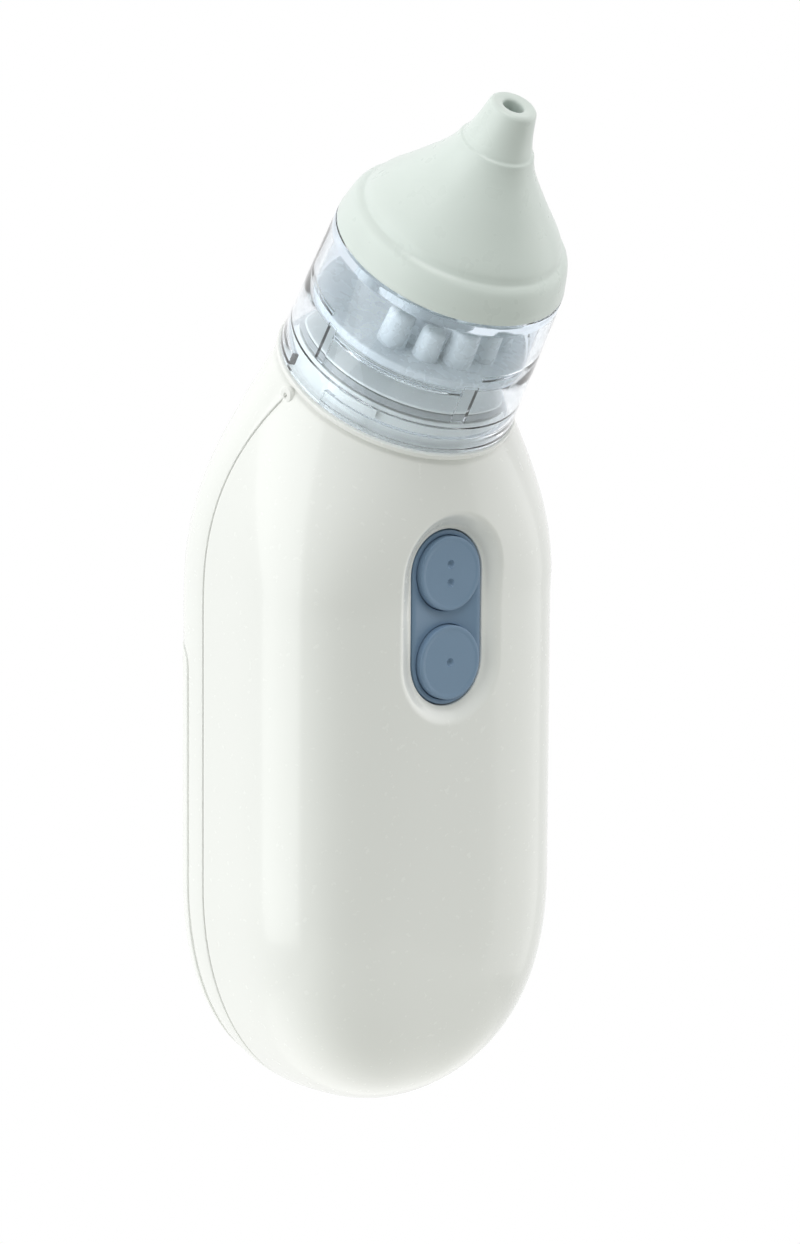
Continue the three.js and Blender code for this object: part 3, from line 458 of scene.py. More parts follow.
def area_light(name, azimuth, elevation, distance, size, power, colour=(1, 1, 1)):
    """Soft box that faces the handle from a direction: azimuth 0 is in front, 90 on the -X side."""
    data = bpy.data.lights.new(name, "AREA")
    data.shape = "RECTANGLE"
    data.size, data.size_y = size
    data.energy = power
    data.color = colour
    lamp = bpy.data.objects.new(name, data)
    a, e = math.radians(azimuth), math.radians(elevation)
    way = Vector((-math.sin(a) * math.cos(e), -math.cos(a) * math.cos(e), math.sin(e)))
    lamp.location = LIT_POINT + way * distance
    lamp.rotation_euler = way.to_track_quat("Z", "Y").to_euler()
    bpy.context.scene.collection.objects.link(lamp)


def make_world():
    """Bright surround behind and to the left, dimmer on the camera's side."""
    scene = bpy.context.scene
    scene.view_settings.view_transform = "Standard"
    scene.view_settings.look = "None"
    world = bpy.data.worlds.new("studio")
    scene.world = world
    world.use_nodes = True
    nodes, links = world.node_tree.nodes, world.node_tree.links
    sky = nodes["Background"]
    place = nodes.new("ShaderNodeTexCoord")
    facing = nodes.new("ShaderNodeVectorMath")
    facing.operation = "DOT_PRODUCT"
    facing.inputs[1].default_value = BRIGHT_SIDE
    spread = nodes.new("ShaderNodeMapRange")
    spread.interpolation_type = "SMOOTHSTEP"
    spread.inputs["From Min"].default_value = -0.35
    spread.inputs["From Max"].default_value = 0.75
    mix = nodes.new("ShaderNodeMix")
    mix.data_type = "RGBA"
    mix.inputs["A"].default_value = SURROUND_DIM
    mix.inputs["B"].default_value = SURROUND_BRIGHT
    links.new(place.outputs["Generated"], facing.inputs[0])
    links.new(facing.outputs["Value"], spread.inputs["Value"])
    links.new(spread.outputs["Result"], mix.inputs["Factor"])
    links.new(mix.outputs["Result"], sky.inputs["Color"])


def make_lights():
    """Large lamps at the sides, a small one high in front, and a low one as from a table."""
    area_light("key_left", 96, 10, 0.9, (0.9, 1.3), 6.2, (0.98, 1, 1))
    area_light("fill_right", -64, 8, 0.9, (0.7, 1.3), 2.8)
    area_light("bounce", 10, -75, 0.16, (0.3, 0.3), 0.11, (1, 1, 0.95))
    area_light("top_front", 12, 60, 0.9, (0.4, 0.4), 2.6)


# ------------------------------------------------------------------ materials
def shader_material(name, colour, roughness, **inputs):
    """Principled material with its plain numbers set on the shader's own sockets."""
    material = bpy.data.materials.new(name)
    material.use_nodes = True
    shader = material.node_tree.nodes["Principled BSDF"]
    shader.inputs["Base Color"].default_value = (*colour, 1)
    shader.inputs["Roughness"].default_value = roughness
    for key, value in inputs.items():
        shader.inputs[key.replace("_", " ")].default_value = value
    return material, shader


def add_noise(material, scale, detail=3.0, stretch=(1, 1, 1)):
    """Noise in object space, which is the row frame in metres."""
    nodes, links = material.node_tree.nodes, material.node_tree.links
    place = nodes.new("ShaderNodeTexCoord")
    mapping = nodes.new("ShaderNodeMapping")
    mapping.inputs["Scale"].default_value = stretch
    noise = nodes.new("ShaderNodeTexNoise")
    noise.inputs["Scale"].default_value = scale
    noise.inputs["Detail"].default_value = detail
    links.new(place.outputs["Object"], mapping.inputs["Vector"])
    links.new(mapping.outputs["Vector"], noise.inputs["Vector"])
    return noise.outputs["Fac"]


def vary(material, source, socket, low, high):
    """Drives a number of the shader from noise, between low and high."""
    nodes, links = material.node_tree.nodes, material.node_tree.links
    spread = nodes.new("ShaderNodeMapRange")
    spread.inputs["From Min"].default_value = 0.3
    spread.inputs["From Max"].default_value = 0.7
    spread.inputs["To Min"].default_value = low
    spread.inputs["To Max"].default_value = high
    links.new(source, spread.inputs["Value"])
    links.new(spread.outputs["Result"], nodes["Principled BSDF"].inputs[socket])


def tint(material, source, first, second):
    """Blends the base colour between two near shades."""
    nodes, links = material.node_tree.nodes, material.node_tree.links
    mix = nodes.new("ShaderNodeMix")
    mix.data_type = "RGBA"
    mix.inputs["A"].default_value = (*first, 1)
    mix.inputs["B"].default_value = (*second, 1)
    links.new(source, mix.inputs["Factor"])
    links.new(mix.outputs["Result"], nodes["Principled BSDF"].inputs["Base Color"])


def roughen(material, source, strength, distance):
    nodes, links = material.node_tree.nodes, material.node_tree.links
    bump = nodes.new("ShaderNodeBump")
    bump.inputs["Strength"].default_value = strength
    bump.inputs["Distance"].default_value = distance
    links.new(source, bump.inputs["Height"])
    links.new(bump.outputs["Normal"], nodes["Principled BSDF"].inputs["Normal"])


def white_gloss():
    material, _ = shader_material("white_gloss", (0.9, 0.905, 0.88), 0.24,
                                  Coat_Weight=0.35, Coat_Roughness=0.05, IOR=1.48)
    cloud = add_noise(material, 60)
    tint(material, cloud, (0.895, 0.90, 0.875), (0.91, 0.915, 0.89))
    vary(material, add_noise(material, 900, 4), "Roughness", 0.21, 0.28)
    roughen(material, add_noise(material, 140, 2), 0.06, 0.0004)
    return material


def blue_grey():
    material, _ = shader_material("blue_grey", (0.20, 0.30, 0.43), 0.42, IOR=1.46)
    tint(material, add_noise(material, 300), (0.195, 0.293, 0.42), (0.205, 0.307, 0.44))
    vary(material, add_noise(material, 2500, 4), "Roughness", 0.38, 0.48)
    roughen(material, add_noise(material, 9000, 2), 0.12, 0.00004)
    return material


def clear_plastic():
    """Clear moulding that lets the lamps reach what is behind it."""
    material, shader = shader_material("clear_plastic", (0.91, 0.955, 1.0), 0.02,
                                       Transmission_Weight=1.0, IOR=1.33, Coat_Weight=0.5,
                                       Coat_Roughness=0.03)
    vary(material, add_noise(material, 400, 3), "Roughness", 0.01, 0.04)
    roughen(material, add_noise(material, 120, 1), 0.05, 0.0006)
    nodes, links = material.node_tree.nodes, material.node_tree.links
    ray = nodes.new("ShaderNodeLightPath")
    passing = nodes.new("ShaderNodeBsdfTransparent")
    passing.inputs["Color"].default_value = (0.95, 0.97, 0.99, 1)
    mix = nodes.new("ShaderNodeMixShader")
    links.new(ray.outputs["Is Shadow Ray"], mix.inputs["Fac"])
    links.new(shader.outputs["BSDF"], mix.inputs[1])
    links.new(passing.outputs["BSDF"], mix.inputs[2])
    links.new(mix.outputs["Shader"], nodes["Material Output"].inputs["Surface"])
    return material


def frosted_plastic():
    material, _ = shader_material("frosted_plastic", (0.90, 0.94, 0.965), 0.28,
                                  Transmission_Weight=0.15, IOR=1.4)
    vary(material, add_noise(material, 500, 2), "Roughness", 0.2, 0.34)
    return material


def silicone():
    material, _ = shader_material("silicone", (0.72, 0.78, 0.745), 0.3,
                                  Subsurface_Weight=0.08, Subsurface_Scale=0.002,
                                  Subsurface_Radius=(1, 1, 1), IOR=1.41)
    tint(material, add_noise(material, 90), (0.71, 0.775, 0.74), (0.73, 0.785, 0.75))
    vary(material, add_noise(material, 300, 2), "Roughness", 0.26, 0.36)
    roughen(material, add_noise(material, 250, 1), 0.03, 0.0001)
    return material


def plain(name, colour, roughness, spread=0.06, grain=1500, bump=0.1, **inputs):
    """Moulded, cast or cut stock with slight colour cloud, uneven roughness and fine grain."""
    def build():
        material, _ = shader_material(name, colour, roughness, **inputs)
        shade = [tuple(c * f for c in colour) for f in (0.95, 1.05)]
        tint(material, add_noise(material, grain / 6), *shade)
        vary(material, add_noise(material, grain, 4), "Roughness",
             roughness - spread, roughness + spread)
        roughen(material, add_noise(material, grain * 3, 2), bump, 0.00005)
        return material
    return build


def wound_copper():
    material, _ = shader_material("copper", (0.62, 0.26, 0.11), 0.3, Metallic=1.0)
    vary(material, add_noise(material, 300, 2, (30, 1, 1)), "Roughness", 0.22, 0.4)
    roughen(material, add_noise(material, 200, 2, (40, 1, 1)), 0.5, 0.0002)
    return material


def circuit_board():
    material, _ = shader_material("board_green", (0.02, 0.12, 0.05), 0.35, Coat_Weight=0.4)
    tint(material, add_noise(material, 700, 1, (1, 0.1, 4)), (0.015, 0.1, 0.04), (0.03, 0.16, 0.07))
    vary(material, add_noise(material, 1200), "Roughness", 0.3, 0.42)
    roughen(material, add_noise(material, 500, 1, (1, 0.1, 5)), 0.3, 0.0001)
    return material


MATERIALS = {
    "white_gloss": white_gloss,
    "blue_grey": blue_grey,
    "clear_plastic": clear_plastic,
    "frosted_plastic": frosted_plastic,
    "silicone": silicone,
    "grey_plastic": plain("grey_plastic", (0.48, 0.49, 0.49), 0.5),
    "black_rubber": plain("black_rubber", (0.02, 0.02, 0.022), 0.7),
    "steel": plain("steel", (0.62, 0.62, 0.63), 0.3, Metallic=1.0),
    "brass": plain("brass", (0.65, 0.48, 0.2), 0.3, Metallic=1.0),
    "copper": wound_copper,
    "ferrite": plain("ferrite", (0.035, 0.034, 0.034), 0.6),
    "board_green": circuit_board,
    "cell_wrap": plain("cell_wrap", (0.06, 0.11, 0.24), 0.28, grain=500, Coat_Weight=0.5),
    "foam": plain("foam", (0.2, 0.22, 0.24), 0.9, grain=2200, bump=0.9),
    "red_wire": plain("red_wire", (0.45, 0.03, 0.02), 0.4),
    "black_wire": plain("black_wire", (0.02, 0.02, 0.022), 0.4),
}
SLOT_OF = {part["node"]: part["material_slot"] for part in frame["record"]["subparts"]}


def dress_frame():
    """Gives every CAD node its procedural material."""
    for name, node in frame["nodes"].items():
        for slot in node.material_slots:
            slot.material = FINISH[SLOT_OF[name]]


FINISH = {slot: build() for slot, build in MATERIALS.items()}


# ------------------------------------------------------------------ shells
FRONT_COLUMNS = 181
RIM_COLUMNS = 7
BACK_COLUMNS = 121


def corner_rows(radius, steps=12):
    """s and v of the door's rounded upper corner, drawn at a radius about its centre."""
    turn = np.linspace(0, math.pi / 2, steps + 1)[1:]
    s = DOOR_TOP - DOOR_CORNER + radius * np.sin(turn)
    return s, DOOR_SEAM + DOOR_CORNER - radius * np.cos(turn)


def edge_rows(offset):
    """s and v along the door's edge, moved out by offset, from the bottom pole upwards."""
    v = DOOR_SEAM - offset
    low = stations(pole_of(v), DOOR_TOP - DOOR_CORNER)
    s, corner_v = corner_rows(DOOR_CORNER + offset)
    return np.concatenate([low, s]), np.concatenate([np.full(len(low), v), corner_v])


def front_sheet():
    """The front shell's face, dished round the button plate."""
    seam = SEAM_GAP / 2 + LIP_RADIUS
    rows = stations(pole_of(SEAM_BODY - seam), SPINE_LENGTH - LIP_RADIUS)
    edge = angle_behind(rows, seam_at(rows) - seam)
    edge[0] = math.pi
    angle = edge[:, None] * np.linspace(-1, 1, FRONT_COLUMNS)[None, :]
    points = placed(*section(rows[:, None], angle), rows[:, None])

    margin = DISH_RIM + DISH_MARGIN
    heights = points[:, FRONT_COLUMNS // 2, 2]
    low = int(np.argmax(heights > PANEL[2] - PANEL_HALF - margin)) - 1
    high = int(np.argmax(heights > PANEL[2] + PANEL_HALF + margin))
    left = int(np.argmax(points[low, :, 0] > -margin)) - 1
    right = FRONT_COLUMNS - 1 - left
    faces = [face for k, face in enumerate(grid_faces(len(rows), FRONT_COLUMNS))
             if not (low <= k // (FRONT_COLUMNS - 1) < high
                     and left <= k % (FRONT_COLUMNS - 1) < right)]
    border = ([(low, j) for j in range(left, right)] + [(i, right) for i in range(low, high)]
              + [(high, j) for j in range(right, left, -1)]
              + [(i, left) for i in range(high, low, -1)])
    ring = np.array([points[i, j] for i, j in border])
    return combined((points.reshape(-1, 3), faces), bottom_patch(points[0]), panel_patch(ring))


def bottom_patch(ring):
    """Closes the bottom inside the lowest ring, whose two ends meet."""
    ring = ring[:-1]
    centre = ring.mean(0)
    levels = []
    for t in (1.0, 0.8, 0.6, 0.4, 0.2, 0.0):
        level = centre + (ring - centre) * t
        level[:, 2] = ring[:, 2] * t * t
        levels.append(level)
    faces = grid_faces(len(levels), len(ring), closed=True)
    return np.concatenate(levels), [face[::-1] for face in faces]


def panel_patch(border):
    """Dished recess: rings from the shell's grid in to the edge round the button plate."""
    nearest = np.clip(border[:, 2], PANEL[2] - PANEL_HALF, PANEL[2] + PANEL_HALF)
    way = np.stack([border[:, 0], border[:, 2] - nearest], -1)
    far = np.linalg.norm(way, axis=1)
    way /= far[:, None]
    inner = np.concatenate([[PANEL_HOLE], np.linspace(DISH_FLOOR, DISH_RIM + 0.4, 18)])
    rings = [inner[-1] + (far - inner[-1]) * t for t in (1.0, 0.75, 0.5, 0.25)]
    rings += [np.full(len(far), radius) for radius in inner[::-1]]
    points = []
    for radius in rings:
        x = way[:, 0] * radius
        z = nearest + way[:, 1] * radius
        blend = smooth_step((radius - DISH_FLOOR) / (DISH_RIM - DISH_FLOOR))
        y = PLATE_Y + (front_face(x, z) - PLATE_Y) * blend
        points.append(np.stack([x, y, z], -1))
    return np.concatenate(points), grid_faces(len(points), len(far), closed=True)


def back_sheet():
    """The back shell: all of the back above the door, and the rim that frames the door."""
    seam = SEAM_GAP / 2 + LIP_RADIUS
    top = DOOR_TOP + LIP_RADIUS
    rows = np.concatenate([np.arange(top, SPINE_LENGTH - 1.5, 1.5), [SPINE_LENGTH - LIP_RADIUS]])
    share = np.linspace(0, 1, RIM_COLUMNS)
    near = seam_at(rows) + seam
    rim = near[:, None] + (DOOR_SEAM + DOOR_CORNER - near)[:, None] * share
    right = angle_behind(rows[:, None], rim)
    first = right[:, -1:]
    wide = first + 2 * (math.pi - first) * np.linspace(0, 1, BACK_COLUMNS)
    angle = np.concatenate([right[:, :-1], wide, 2 * math.pi - right[:, -2::-1]], 1)
    upper = placed(*section(rows[:, None], angle), rows[:, None])

    lines = []
    edge_s, edge_v = edge_rows(LIP_RADIUS)
    near_v = SEAM_BODY + seam
    for k in share:
        v = near_v + k * (edge_v - near_v)
        low = stations(pole_of(v[0]), DOOR_TOP - DOOR_CORNER)
        s = np.concatenate([low, edge_s[len(low):]])
        turn = angle_behind(s, v)
        turn[0] = math.pi
        side = placed(*section(s, turn), s)
        lines.append(np.concatenate([side[::-1], side[1:] * np.array([-1, 1, 1])]))
    rim_points = np.array(lines)
    return combined((upper.reshape(-1, 3), grid_faces(*angle.shape)),
                    (rim_points.reshape(-1, 3), grid_faces(*rim_points.shape[:2])))


def door_sheet():
    """The battery door's outer face, very slightly proud of the shell along its sides."""
    s, v = edge_rows(-DOOR_GAP - LIP_RADIUS)
    edge = angle_behind(s, v)
    edge[0] = math.pi
    span = np.linspace(0, 1, BACK_COLUMNS)
    angle = edge[:, None] + 2 * (math.pi - edge)[:, None] * span
    x, w = section(s[:, None], angle)
    side = 1 - smooth_step((w - PROUD_DEPTH) / PROUD_FADE)
    proud = DOOR_PROUD * side * smooth_step(s[:, None] / PROUD_START)
    points = placed(x + np.sign(x) * proud, w, s[:, None])
    return points.reshape(-1, 3), grid_faces(*angle.shape)


CORE_INSET = SKIN - 0.05
CORE_PAST_NECK = 6.0


def handle_core():
    """Closed solid of everything inside the outer skins."""
    rows = np.concatenate([stations(SKIN, SPINE_LENGTH), [SPINE_LENGTH + CORE_PAST_NECK]])
    angle = np.linspace(0, 2 * math.pi, 97)[None, :-1]
    points = placed(*section(rows[:, None], angle, CORE_INSET), rows[:, None])
    count = angle.shape[1]
    faces = grid_faces(len(rows), count, closed=True)
    last = (len(rows) - 1) * count
    faces += [tuple(range(count))[::-1], tuple(range(last, last + count))]
    return points.reshape(-1, 3), faces


def stadium(radius, y, steps=24):
    """Outline round the button panel at a depth y, anticlockwise seen from the front."""
    turn = np.linspace(0, math.pi, steps + 1)
    ends = [(turn, PANEL[2] + PANEL_HALF), (turn + math.pi, PANEL[2] - PANEL_HALF)]
    return np.concatenate([np.stack([radius * np.cos(a), np.full(len(a), y),
                                     z + radius * np.sin(a)], -1) for a, z in ends])


def circle(radius, y, z, steps=96):
    turn = np.arange(steps) * 2 * math.pi / steps
    return np.stack([radius * np.cos(turn), np.full(steps, y), z + radius * np.sin(turn)], -1)


def lofted(rings):
    """Closed solid through rings of equal size, anticlockwise seen from the first."""
    count = len(rings[0])
    faces = [face[::-1] for face in grid_faces(len(rings), count, closed=True)]
    last = (len(rings) - 1) * count
    faces += [tuple(range(count)), tuple(range(last, last + count))[::-1]]
    return np.concatenate(rings), faces


def with_lining(sheet, node, cutter=None):
    """Outer skin joined to the ribs, posts and ledges that the CAD node has inside it."""
    inside = boolean(cad_shape(node), CORE, "INTERSECT")
    if cutter:
        inside = boolean(inside, cutter, "DIFFERENCE")
    return combined(thickened(*sheet), inside)


def grip(z, length=7.5, deep=0.55, high=0.45, sunk=0.25):
    """Fine rounded ridge across the back of the door, its middle sunk into the door."""
    rows, around = 25, 16
    share = np.sin(np.linspace(-math.pi / 2, math.pi / 2, rows))
    size = np.sqrt(1 - np.abs(share) ** 12)[:, None]
    turn = np.arange(around) * 2 * math.pi / around
    x = np.broadcast_to(length * share[:, None], (rows, around))
    y = SPINE_Y + BACK_DEPTH - sunk + deep * size * np.cos(turn)
    points = np.stack([x, y, z + high * size * np.sin(turn)], -1).reshape(-1, 3)
    return welded(points, grid_faces(rows, around, closed=True))


def make_shells():
    clear = DISH_RIM + 0.8
    dish = lofted([stadium(clear, -60), stadium(clear, PLATE_Y + CORE_INSET)])
    points, faces = turned(filleted([(EYE_BORE, 0, 0.12), (EYE_RADIUS, 0, 0.22),
                                     (EYE_RADIUS, EYE_LENGTH, 0), (EYE_BORE, EYE_LENGTH, 0)]),
                           segments=40)
    eyelet = (in_neck(points[:, [2, 0, 1]] + EYELET), faces)
    back = with_lining(back_sheet(), "back_shell")
    new_piece("front_shell_fine", with_lining(front_sheet(), "front_shell", dish),
              "white_gloss", "handset", "front_shell")
    new_piece("back_shell_fine", combined(back, eyelet), "white_gloss", "handset", "back_shell")
    door = with_lining(door_sheet(), "battery_door")
    new_piece("battery_door_fine", combined(door, *[grip(z) for z in GRIPS]), "white_gloss",
              "door", "battery_door")


# ------------------------------------------------------------------ buttons
PLATE_DEPTH = 2.4
FLANGE = 0.9  # thickness of the flange behind the plate, and of the one behind a cap
FLANGE_RADIUS = PANEL_RADIUS + 1.4
CAP_FLANGE_RADIUS = PANEL_RADIUS - 0.25
CAP_CLEARANCE = 0.3  # from the plate's back to the cap's flange
STEM_RADIUS, STEM_LENGTH = 1.5, 2.3
BUTTON_RADIUS = 6.0
BUTTON_PROUD = 1.1
BUTTON_FACE = 1.04  # the face lies a little below its rim
BUTTON_GAP = 0.12
DIMPLE = {"radius": 0.72, "depth": 0.45}
DIMPLES = {"high": (-1.5, 1.5), "low": (0.0,)}


def filled(outer, holes):
    """Flat triangulated face with holes, its points in the order given."""
    mesh = bmesh.new()
    for ring in [outer, *holes]:
        verts = [mesh.verts.new(point) for point in ring]
        for a, b in zip(verts, verts[1:] + verts[:1]):
            mesh.edges.new((a, b))
    bmesh.ops.triangle_fill(mesh, use_beauty=True, edges=mesh.edges[:], normal=(0, -1, 0))
    mesh.verts.index_update()
    points = np.array([vertex.co for vertex in mesh.verts])
    faces = []
    for face in mesh.faces:
        ring = tuple(vertex.index for vertex in face.verts)
        faces.append(ring if face.normal.y < 0 else ring[::-1])
    mesh.free()
    return points, faces


def wall_between(rings):
    """Open wall through closed rings of equal size."""
    faces = grid_faces(len(rings), len(rings[0]), closed=True)
    return np.concatenate(rings), [face[::-1] for face in faces]


def make_plate(heights):
    """Long plate with its rear flange and a hole for each button."""
    soft = 0.2
    back = PLATE_Y + PLATE_DEPTH
    bevel = 0.3 * soft
    outer = [stadium(PANEL_RADIUS - soft, PLATE_Y),
             stadium(PANEL_RADIUS - bevel, PLATE_Y + bevel),
             stadium(PANEL_RADIUS, PLATE_Y + soft),
             stadium(PANEL_RADIUS, back - FLANGE),
             stadium(FLANGE_RADIUS, back - FLANGE),
             stadium(FLANGE_RADIUS, back)]
    hole = BUTTON_RADIUS + BUTTON_GAP
    bores = [[circle(hole + soft, PLATE_Y, z), circle(hole + bevel, PLATE_Y + bevel, z),
              circle(hole, PLATE_Y + soft, z), circle(hole, back, z)] for z in heights]
    front = filled(outer[0], [bore[0] for bore in bores])
    rear_points, rear_faces = filled(outer[-1], [bore[-1] for bore in bores])
    parts = [front, wall_between(outer), (rear_points, [face[::-1] for face in rear_faces])]
    for bore in bores:
        points, faces = wall_between(bore)
        parts.append((points, [face[::-1] for face in faces]))
    new_piece("button_plate_fine", welded(*combined(*parts)), "blue_grey", "handset",
              "button_plate")


def make_button(name):
    """Cap with a raised rim and ball-shaped dimples, turned and then laid along the press."""
    z = BUTTON_Z[name]
    rear = PLATE_DEPTH + CAP_CLEARANCE
    stem_end = -rear - STEM_LENGTH
    cap = turned(filleted([
        (0, stem_end, 0), (STEM_RADIUS, stem_end, 0.2), (STEM_RADIUS, -rear - FLANGE, 0),
        (CAP_FLANGE_RADIUS, -rear - FLANGE, 0.1), (CAP_FLANGE_RADIUS, -rear, 0.1),
        (BUTTON_RADIUS, -rear, 0), (BUTTON_RADIUS, BUTTON_PROUD, 0.22),
        (BUTTON_RADIUS - 0.5, BUTTON_PROUD, 0.2), (BUTTON_RADIUS - 0.9, BUTTON_FACE, 0.3),
        (BUTTON_RADIUS - 1.5, BUTTON_FACE, 0), (0, BUTTON_FACE, 0)], closed=False), segments=144)
    span = (DIMPLE["radius"] ** 2 + DIMPLE["depth"] ** 2) / (2 * DIMPLE["depth"])
    turn = np.linspace(-math.pi / 2, math.pi / 2, 25)
    ball = np.stack([span * np.cos(turn), span * np.sin(turn)], -1)
    for offset in DIMPLES[name]:
        points, faces = turned(ball, segments=48)
        height = BUTTON_FACE - DIMPLE["depth"] + span
        cap = boolean(cap, (points + [0, offset, height], faces), "DIFFERENCE")
    points, faces = cap
    points = np.stack([points[:, 0], PLATE_Y - points[:, 2], z + points[:, 1]], -1)
    new_piece(name + "_button_fine", (points, faces), "blue_grey", name + "_key",
              name + "_button")


# ------------------------------------------------------------------ neck, cup and tip
CUP_RIM, CUP_SHOULDER, CUP_TOP = 20.0, 19.2, 24.8
COLLAR_RADIUS, COLLAR_TOP = 17.2, 28.0
FLOOR = 11.7
SPIGOT_RADIUS, SPIGOT_TOP = 17.3, 7.0
LUG_ANGLE, LUG_WIDTH, LUG_RADIUS = -59.5, 22.0, 18.35
TWIST, ENTRY_WIDTH, ENTRY_RADIUS = 32.0, 29.0, 18.6
POST_DISTANCE = 12.4
TIP_END, TIP_BORE = 53.8, 1.7
INSERT_POSTS = [(-60, 2.5, 19.6), (-34, 2.2, 18.6), (-10, 2.6, 19.8), (17, 1.9, 18.8),
                (45, 2.4, 19.5), (180, 2.2, 19.5)]  # angle, radius, top
TRACK_INSIDE = 16.5  # from within the cup, so that the grooves open into it
CUP_TRACKS = [(-12, -4, 5.5, 12.5, 18.25), (-90.5, -84.5, 5.5, 12.5, 18.25),
              (-84.5, -12, 10.7, 11.3, 18.4), (-4, 60, 13.7, 14.5, 18.4),
              (-130, -90.5, 13.7, 14.5, 18.4)]  # moulded grooves: angles, heights, radius
TIP_OUTSIDE = [(18.95, 26), (18.6, 27.8), (18.15, 29.3), (17.75, 30.1), (17.2, 30.6),
               (16.6, 30.95), (16.3, 31.5), (15.95, 32.4), (15.1, 33.6), (13.9, 35), (12.2, 37),
               (10.6, 39), (9.0, 41), (7.6, 43), (6.7, 44.7), (6.35, 45.6), (6.15, 46.2),
               (5.72, 46.5), (5.5, 47.1), (5.05, 48.4), (4.6, 50), (4.2, 51.8)]
TIP_INSIDE = [(TIP_BORE, 49.5), (3.3, 46.2), (5.6, 42.6), (8.6, 38.8), (12.4, 34.2),
              (16.2, 29.8), (17.35, 28.2)]


def sector(low, high, radius, bottom, top, inner=0.0):
    """Slab of a disc or ring between two angles about the neck axis."""
    angle = np.linspace(low, high, 17)
    outer = round_neck(radius, angle, 0.0)
    near = round_neck(inner, angle[::-1], 0.0) if inner else np.zeros((1, 3))
    base = np.concatenate([outer, near])
    count = len(base)
    faces = [tuple(range(count))[::-1], tuple(range(count, 2 * count))]
    walls = strip_faces(list(range(count)), list(range(count, 2 * count)))
    faces += [face[::-1] for face in walls]
    return np.concatenate([base + [0, 0, bottom], base + [0, 0, top]]), faces


def wall_at(z):
    return CUP_RIM + (CUP_SHOULDER - CUP_RIM) * z / CUP_TOP


def make_spigot():
    body = turned(filleted([
        (1.6, -10, 0.2), (1.6, -4.6, 0), (3.2, -4.4, 0.2), (3.2, 4.8, 0), (14.8, 4.8, 0),
        (14.8, 0.8, 0), (12.3, -0.6, 0.3), (12.3, -4.3, 0), (15.2, -4.3, 0.2), (15.2, -3.2, 0),
        (13.6, -3.2, 0), (13.6, -1.6, 0), (16.2, -1.6, 0), (16.2, 0.05 - LIP, 0),
        (20.3, 0.05 - LIP, 0.2), (20.3, -0.1, 0.25), (20.0, 0, 0), (SPIGOT_RADIUS, 0, 0.3),
        (SPIGOT_RADIUS, 4.8, 0.15), (16.1, 4.8, 0), (16.1, 6.6, 0), (SPIGOT_RADIUS, 6.6, 0.1),
        (SPIGOT_RADIUS, SPIGOT_TOP, 0.3), (5.4, SPIGOT_TOP, 0.3), (5.4, SPIGOT_TOP - 1.1, 0),
        (1, SPIGOT_TOP - 1.1, 0.2), (1, -10, 0)]), segments=160)
    lugs = []
    for lug in (LUG_ANGLE, LUG_ANGLE + 180):
        lugs.append(sector(lug - LUG_WIDTH / 2, lug + LUG_WIDTH / 2, LUG_RADIUS, 2.5, 4.1, 16.8))
    points, faces = combined(body, *lugs)
    new_piece("neck_spigot_fine", (in_neck(points), faces), "white_gloss", "handset",
              "neck_spigot")


def make_cup():
    body = turned(filleted([
        (17.6, 0.15, 0.2), (wall_at(0.15), 0.15, 0.35), (CUP_SHOULDER, CUP_TOP, 0.3),
        (COLLAR_RADIUS, CUP_TOP, 0.2), (COLLAR_RADIUS, COLLAR_TOP, 0.3),
        (15.9, COLLAR_TOP, 0.3), (15.9, 23.6, 0.5), (17.5, 22.2, 0.6), (18.1, FLOOR, 0.15),
        (17.7, FLOOR, 0.15), (17.7, 4.4, 0.15), (ENTRY_RADIUS, 4.4, 0.2), (ENTRY_RADIUS, 2.3, 0.2),
        (17.6, 2.3, 0.15)]), segments=192)
    for side in (0, 180):
        entry = LUG_ANGLE - TWIST + side
        slot = sector(entry - ENTRY_WIDTH / 2, entry + ENTRY_WIDTH / 2, ENTRY_RADIUS, -1, 3)
        body = boolean(body, slot, "DIFFERENCE")
    for low, high, bottom, top, radius in CUP_TRACKS:
        groove = sector(low, high, radius, bottom, top, TRACK_INSIDE)
        body = boolean(body, groove, "DIFFERENCE")
    points, faces = body
    new_piece("collection_cup_fine", (in_neck(points), faces), "clear_plastic", "cup",
              "collection_cup")


def post(angle, distance, radius, bottom, top):
    """Round post with a soft top, beside the neck axis."""
    points, faces = turned(filleted([(0, bottom, 0), (radius, bottom, 0),
                                     (radius * 0.86, top, radius * 0.6), (0, top, 0)],
                                    closed=False), segments=36)
    return points + round_neck(distance, angle, 0.0), faces


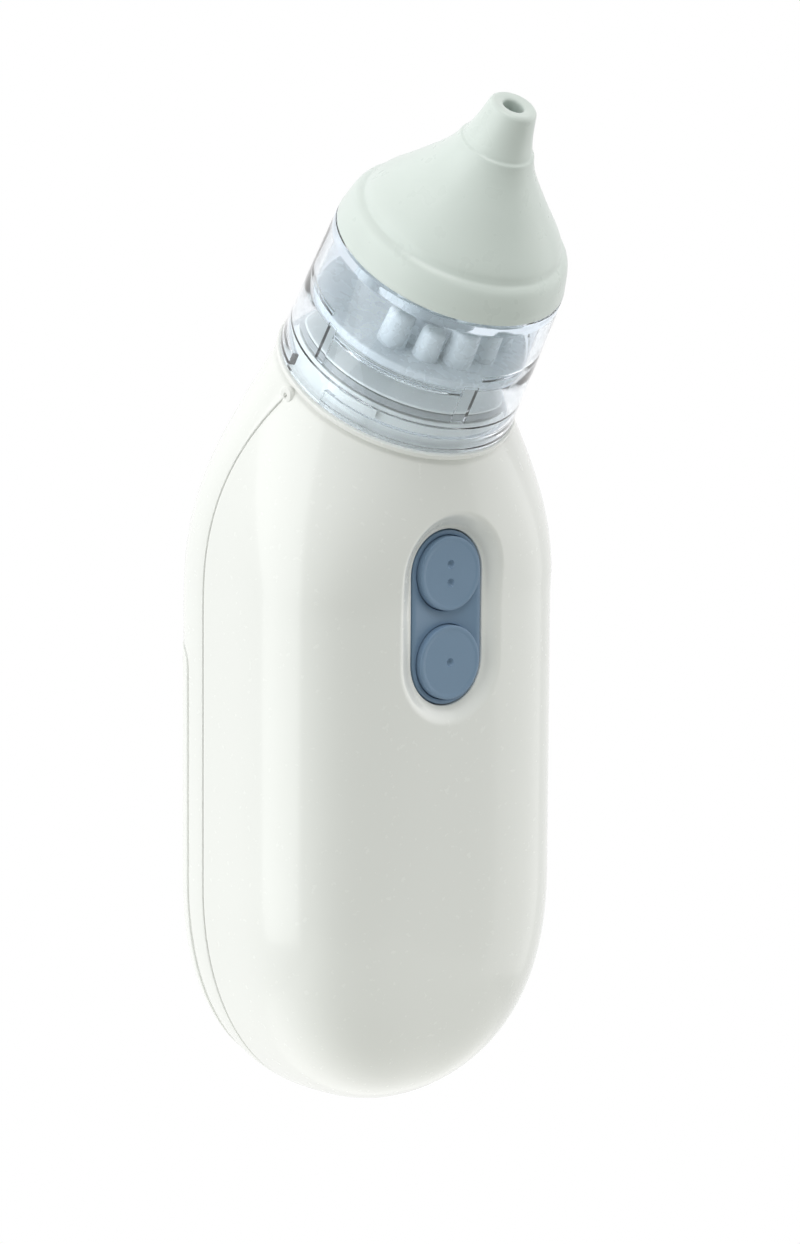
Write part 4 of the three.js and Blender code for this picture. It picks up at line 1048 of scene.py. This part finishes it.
def make_insert():
    body = turned(filleted([
        (1.8, FLOOR - 2.4, 0.2), (3.4, FLOOR - 2.4, 0.3), (3.4, FLOOR - 0.1, 0.3),
        (17.4, FLOOR - 0.1, 0), (17.4, FLOOR + 0.1, 0), (17.8, FLOOR + 0.1, 0.1),
        (17.8, FLOOR + 1.5, 0.3), (3.6, FLOOR + 1.5, 0.8), (2.9, 20.4, 0.3),
        (1.8, 20.4, 0.2)]), segments=128)
    for angle, radius, top in INSERT_POSTS:
        body = boolean(body, post(angle, POST_DISTANCE, radius, FLOOR + 1, top), "UNION")
    points, faces = body
    new_piece("cup_insert_fine", (in_neck(points), faces), "frosted_plastic", "cup",
              "cup_insert")


def make_guard():
    hood = turned(filleted([
        (0, 21.2, 0), (6.2, 21.2, 0.4), (6.2, 18.6, 0.3), (7.4, 18.6, 0.3), (7.4, 21.4, 1.5),
        (5.6, 23.2, 2.5), (0, 23.7, 0)], closed=False), segments=96)
    for angle in (60, 180, 300):
        hood = boolean(hood, post(angle, 3.2, 0.7, 20.5, 21.7), "UNION")
    points, faces = hood
    new_piece("splash_guard_fine", (in_neck(points), faces), "frosted_plastic", "cup",
              "splash_guard")


def smooth_curve(points, steps):
    """Catmull-Rom curve through (r, z) points."""
    points = np.array(points, float)
    padded = np.concatenate([2 * points[:1] - points[1:2], points, 2 * points[-1:] - points[-2:-1]])
    result = []
    for i in range(1, len(padded) - 2):
        p0, p1, p2, p3 = padded[i - 1:i + 3]
        for t in np.arange(steps) / steps:
            result.append(0.5 * (2 * p1 + (p2 - p0) * t + (2 * p0 - 5 * p1 + 4 * p2 - p3) * t * t
                                 + (3 * p1 - p0 - 3 * p2 + p3) * t ** 3))
    return np.array(result + [points[-1]])


def make_tip():
    skirt = filleted([(17.35, 29, 0), (17.35, 25.0, 0.2), (19.3, 25.0, 0.4), (18.95, 26, 0)],
                     closed=False)[1:-1]
    lip = filleted([(4.1, 51.8, 0), (3.85, TIP_END, 0.8), (TIP_BORE, TIP_END - 0.15, 0.55),
                    (TIP_BORE, 49.5, 0)], closed=False, steps=8)[1:-1]
    profile = np.concatenate([skirt, smooth_curve(TIP_OUTSIDE, 4), lip,
                              smooth_curve(TIP_INSIDE, 4)])
    points, faces = turned(profile, segments=192)
    new_piece("nozzle_tip_fine", (in_neck(points), faces), "silicone", "tip", "nozzle_tip")


# ------------------------------------------------------------------ assembly
BUTTON_Z = {name: middle(name + "_button")[2] for name in DIMPLES}
CORE = handle_core()

make_camera()
make_world()
make_lights()
dress_frame()
make_shells()
make_plate(BUTTON_Z.values())
for button in DIMPLES:
    make_button(button)
make_spigot()
make_cup()
make_insert()
make_guard()
make_tip()
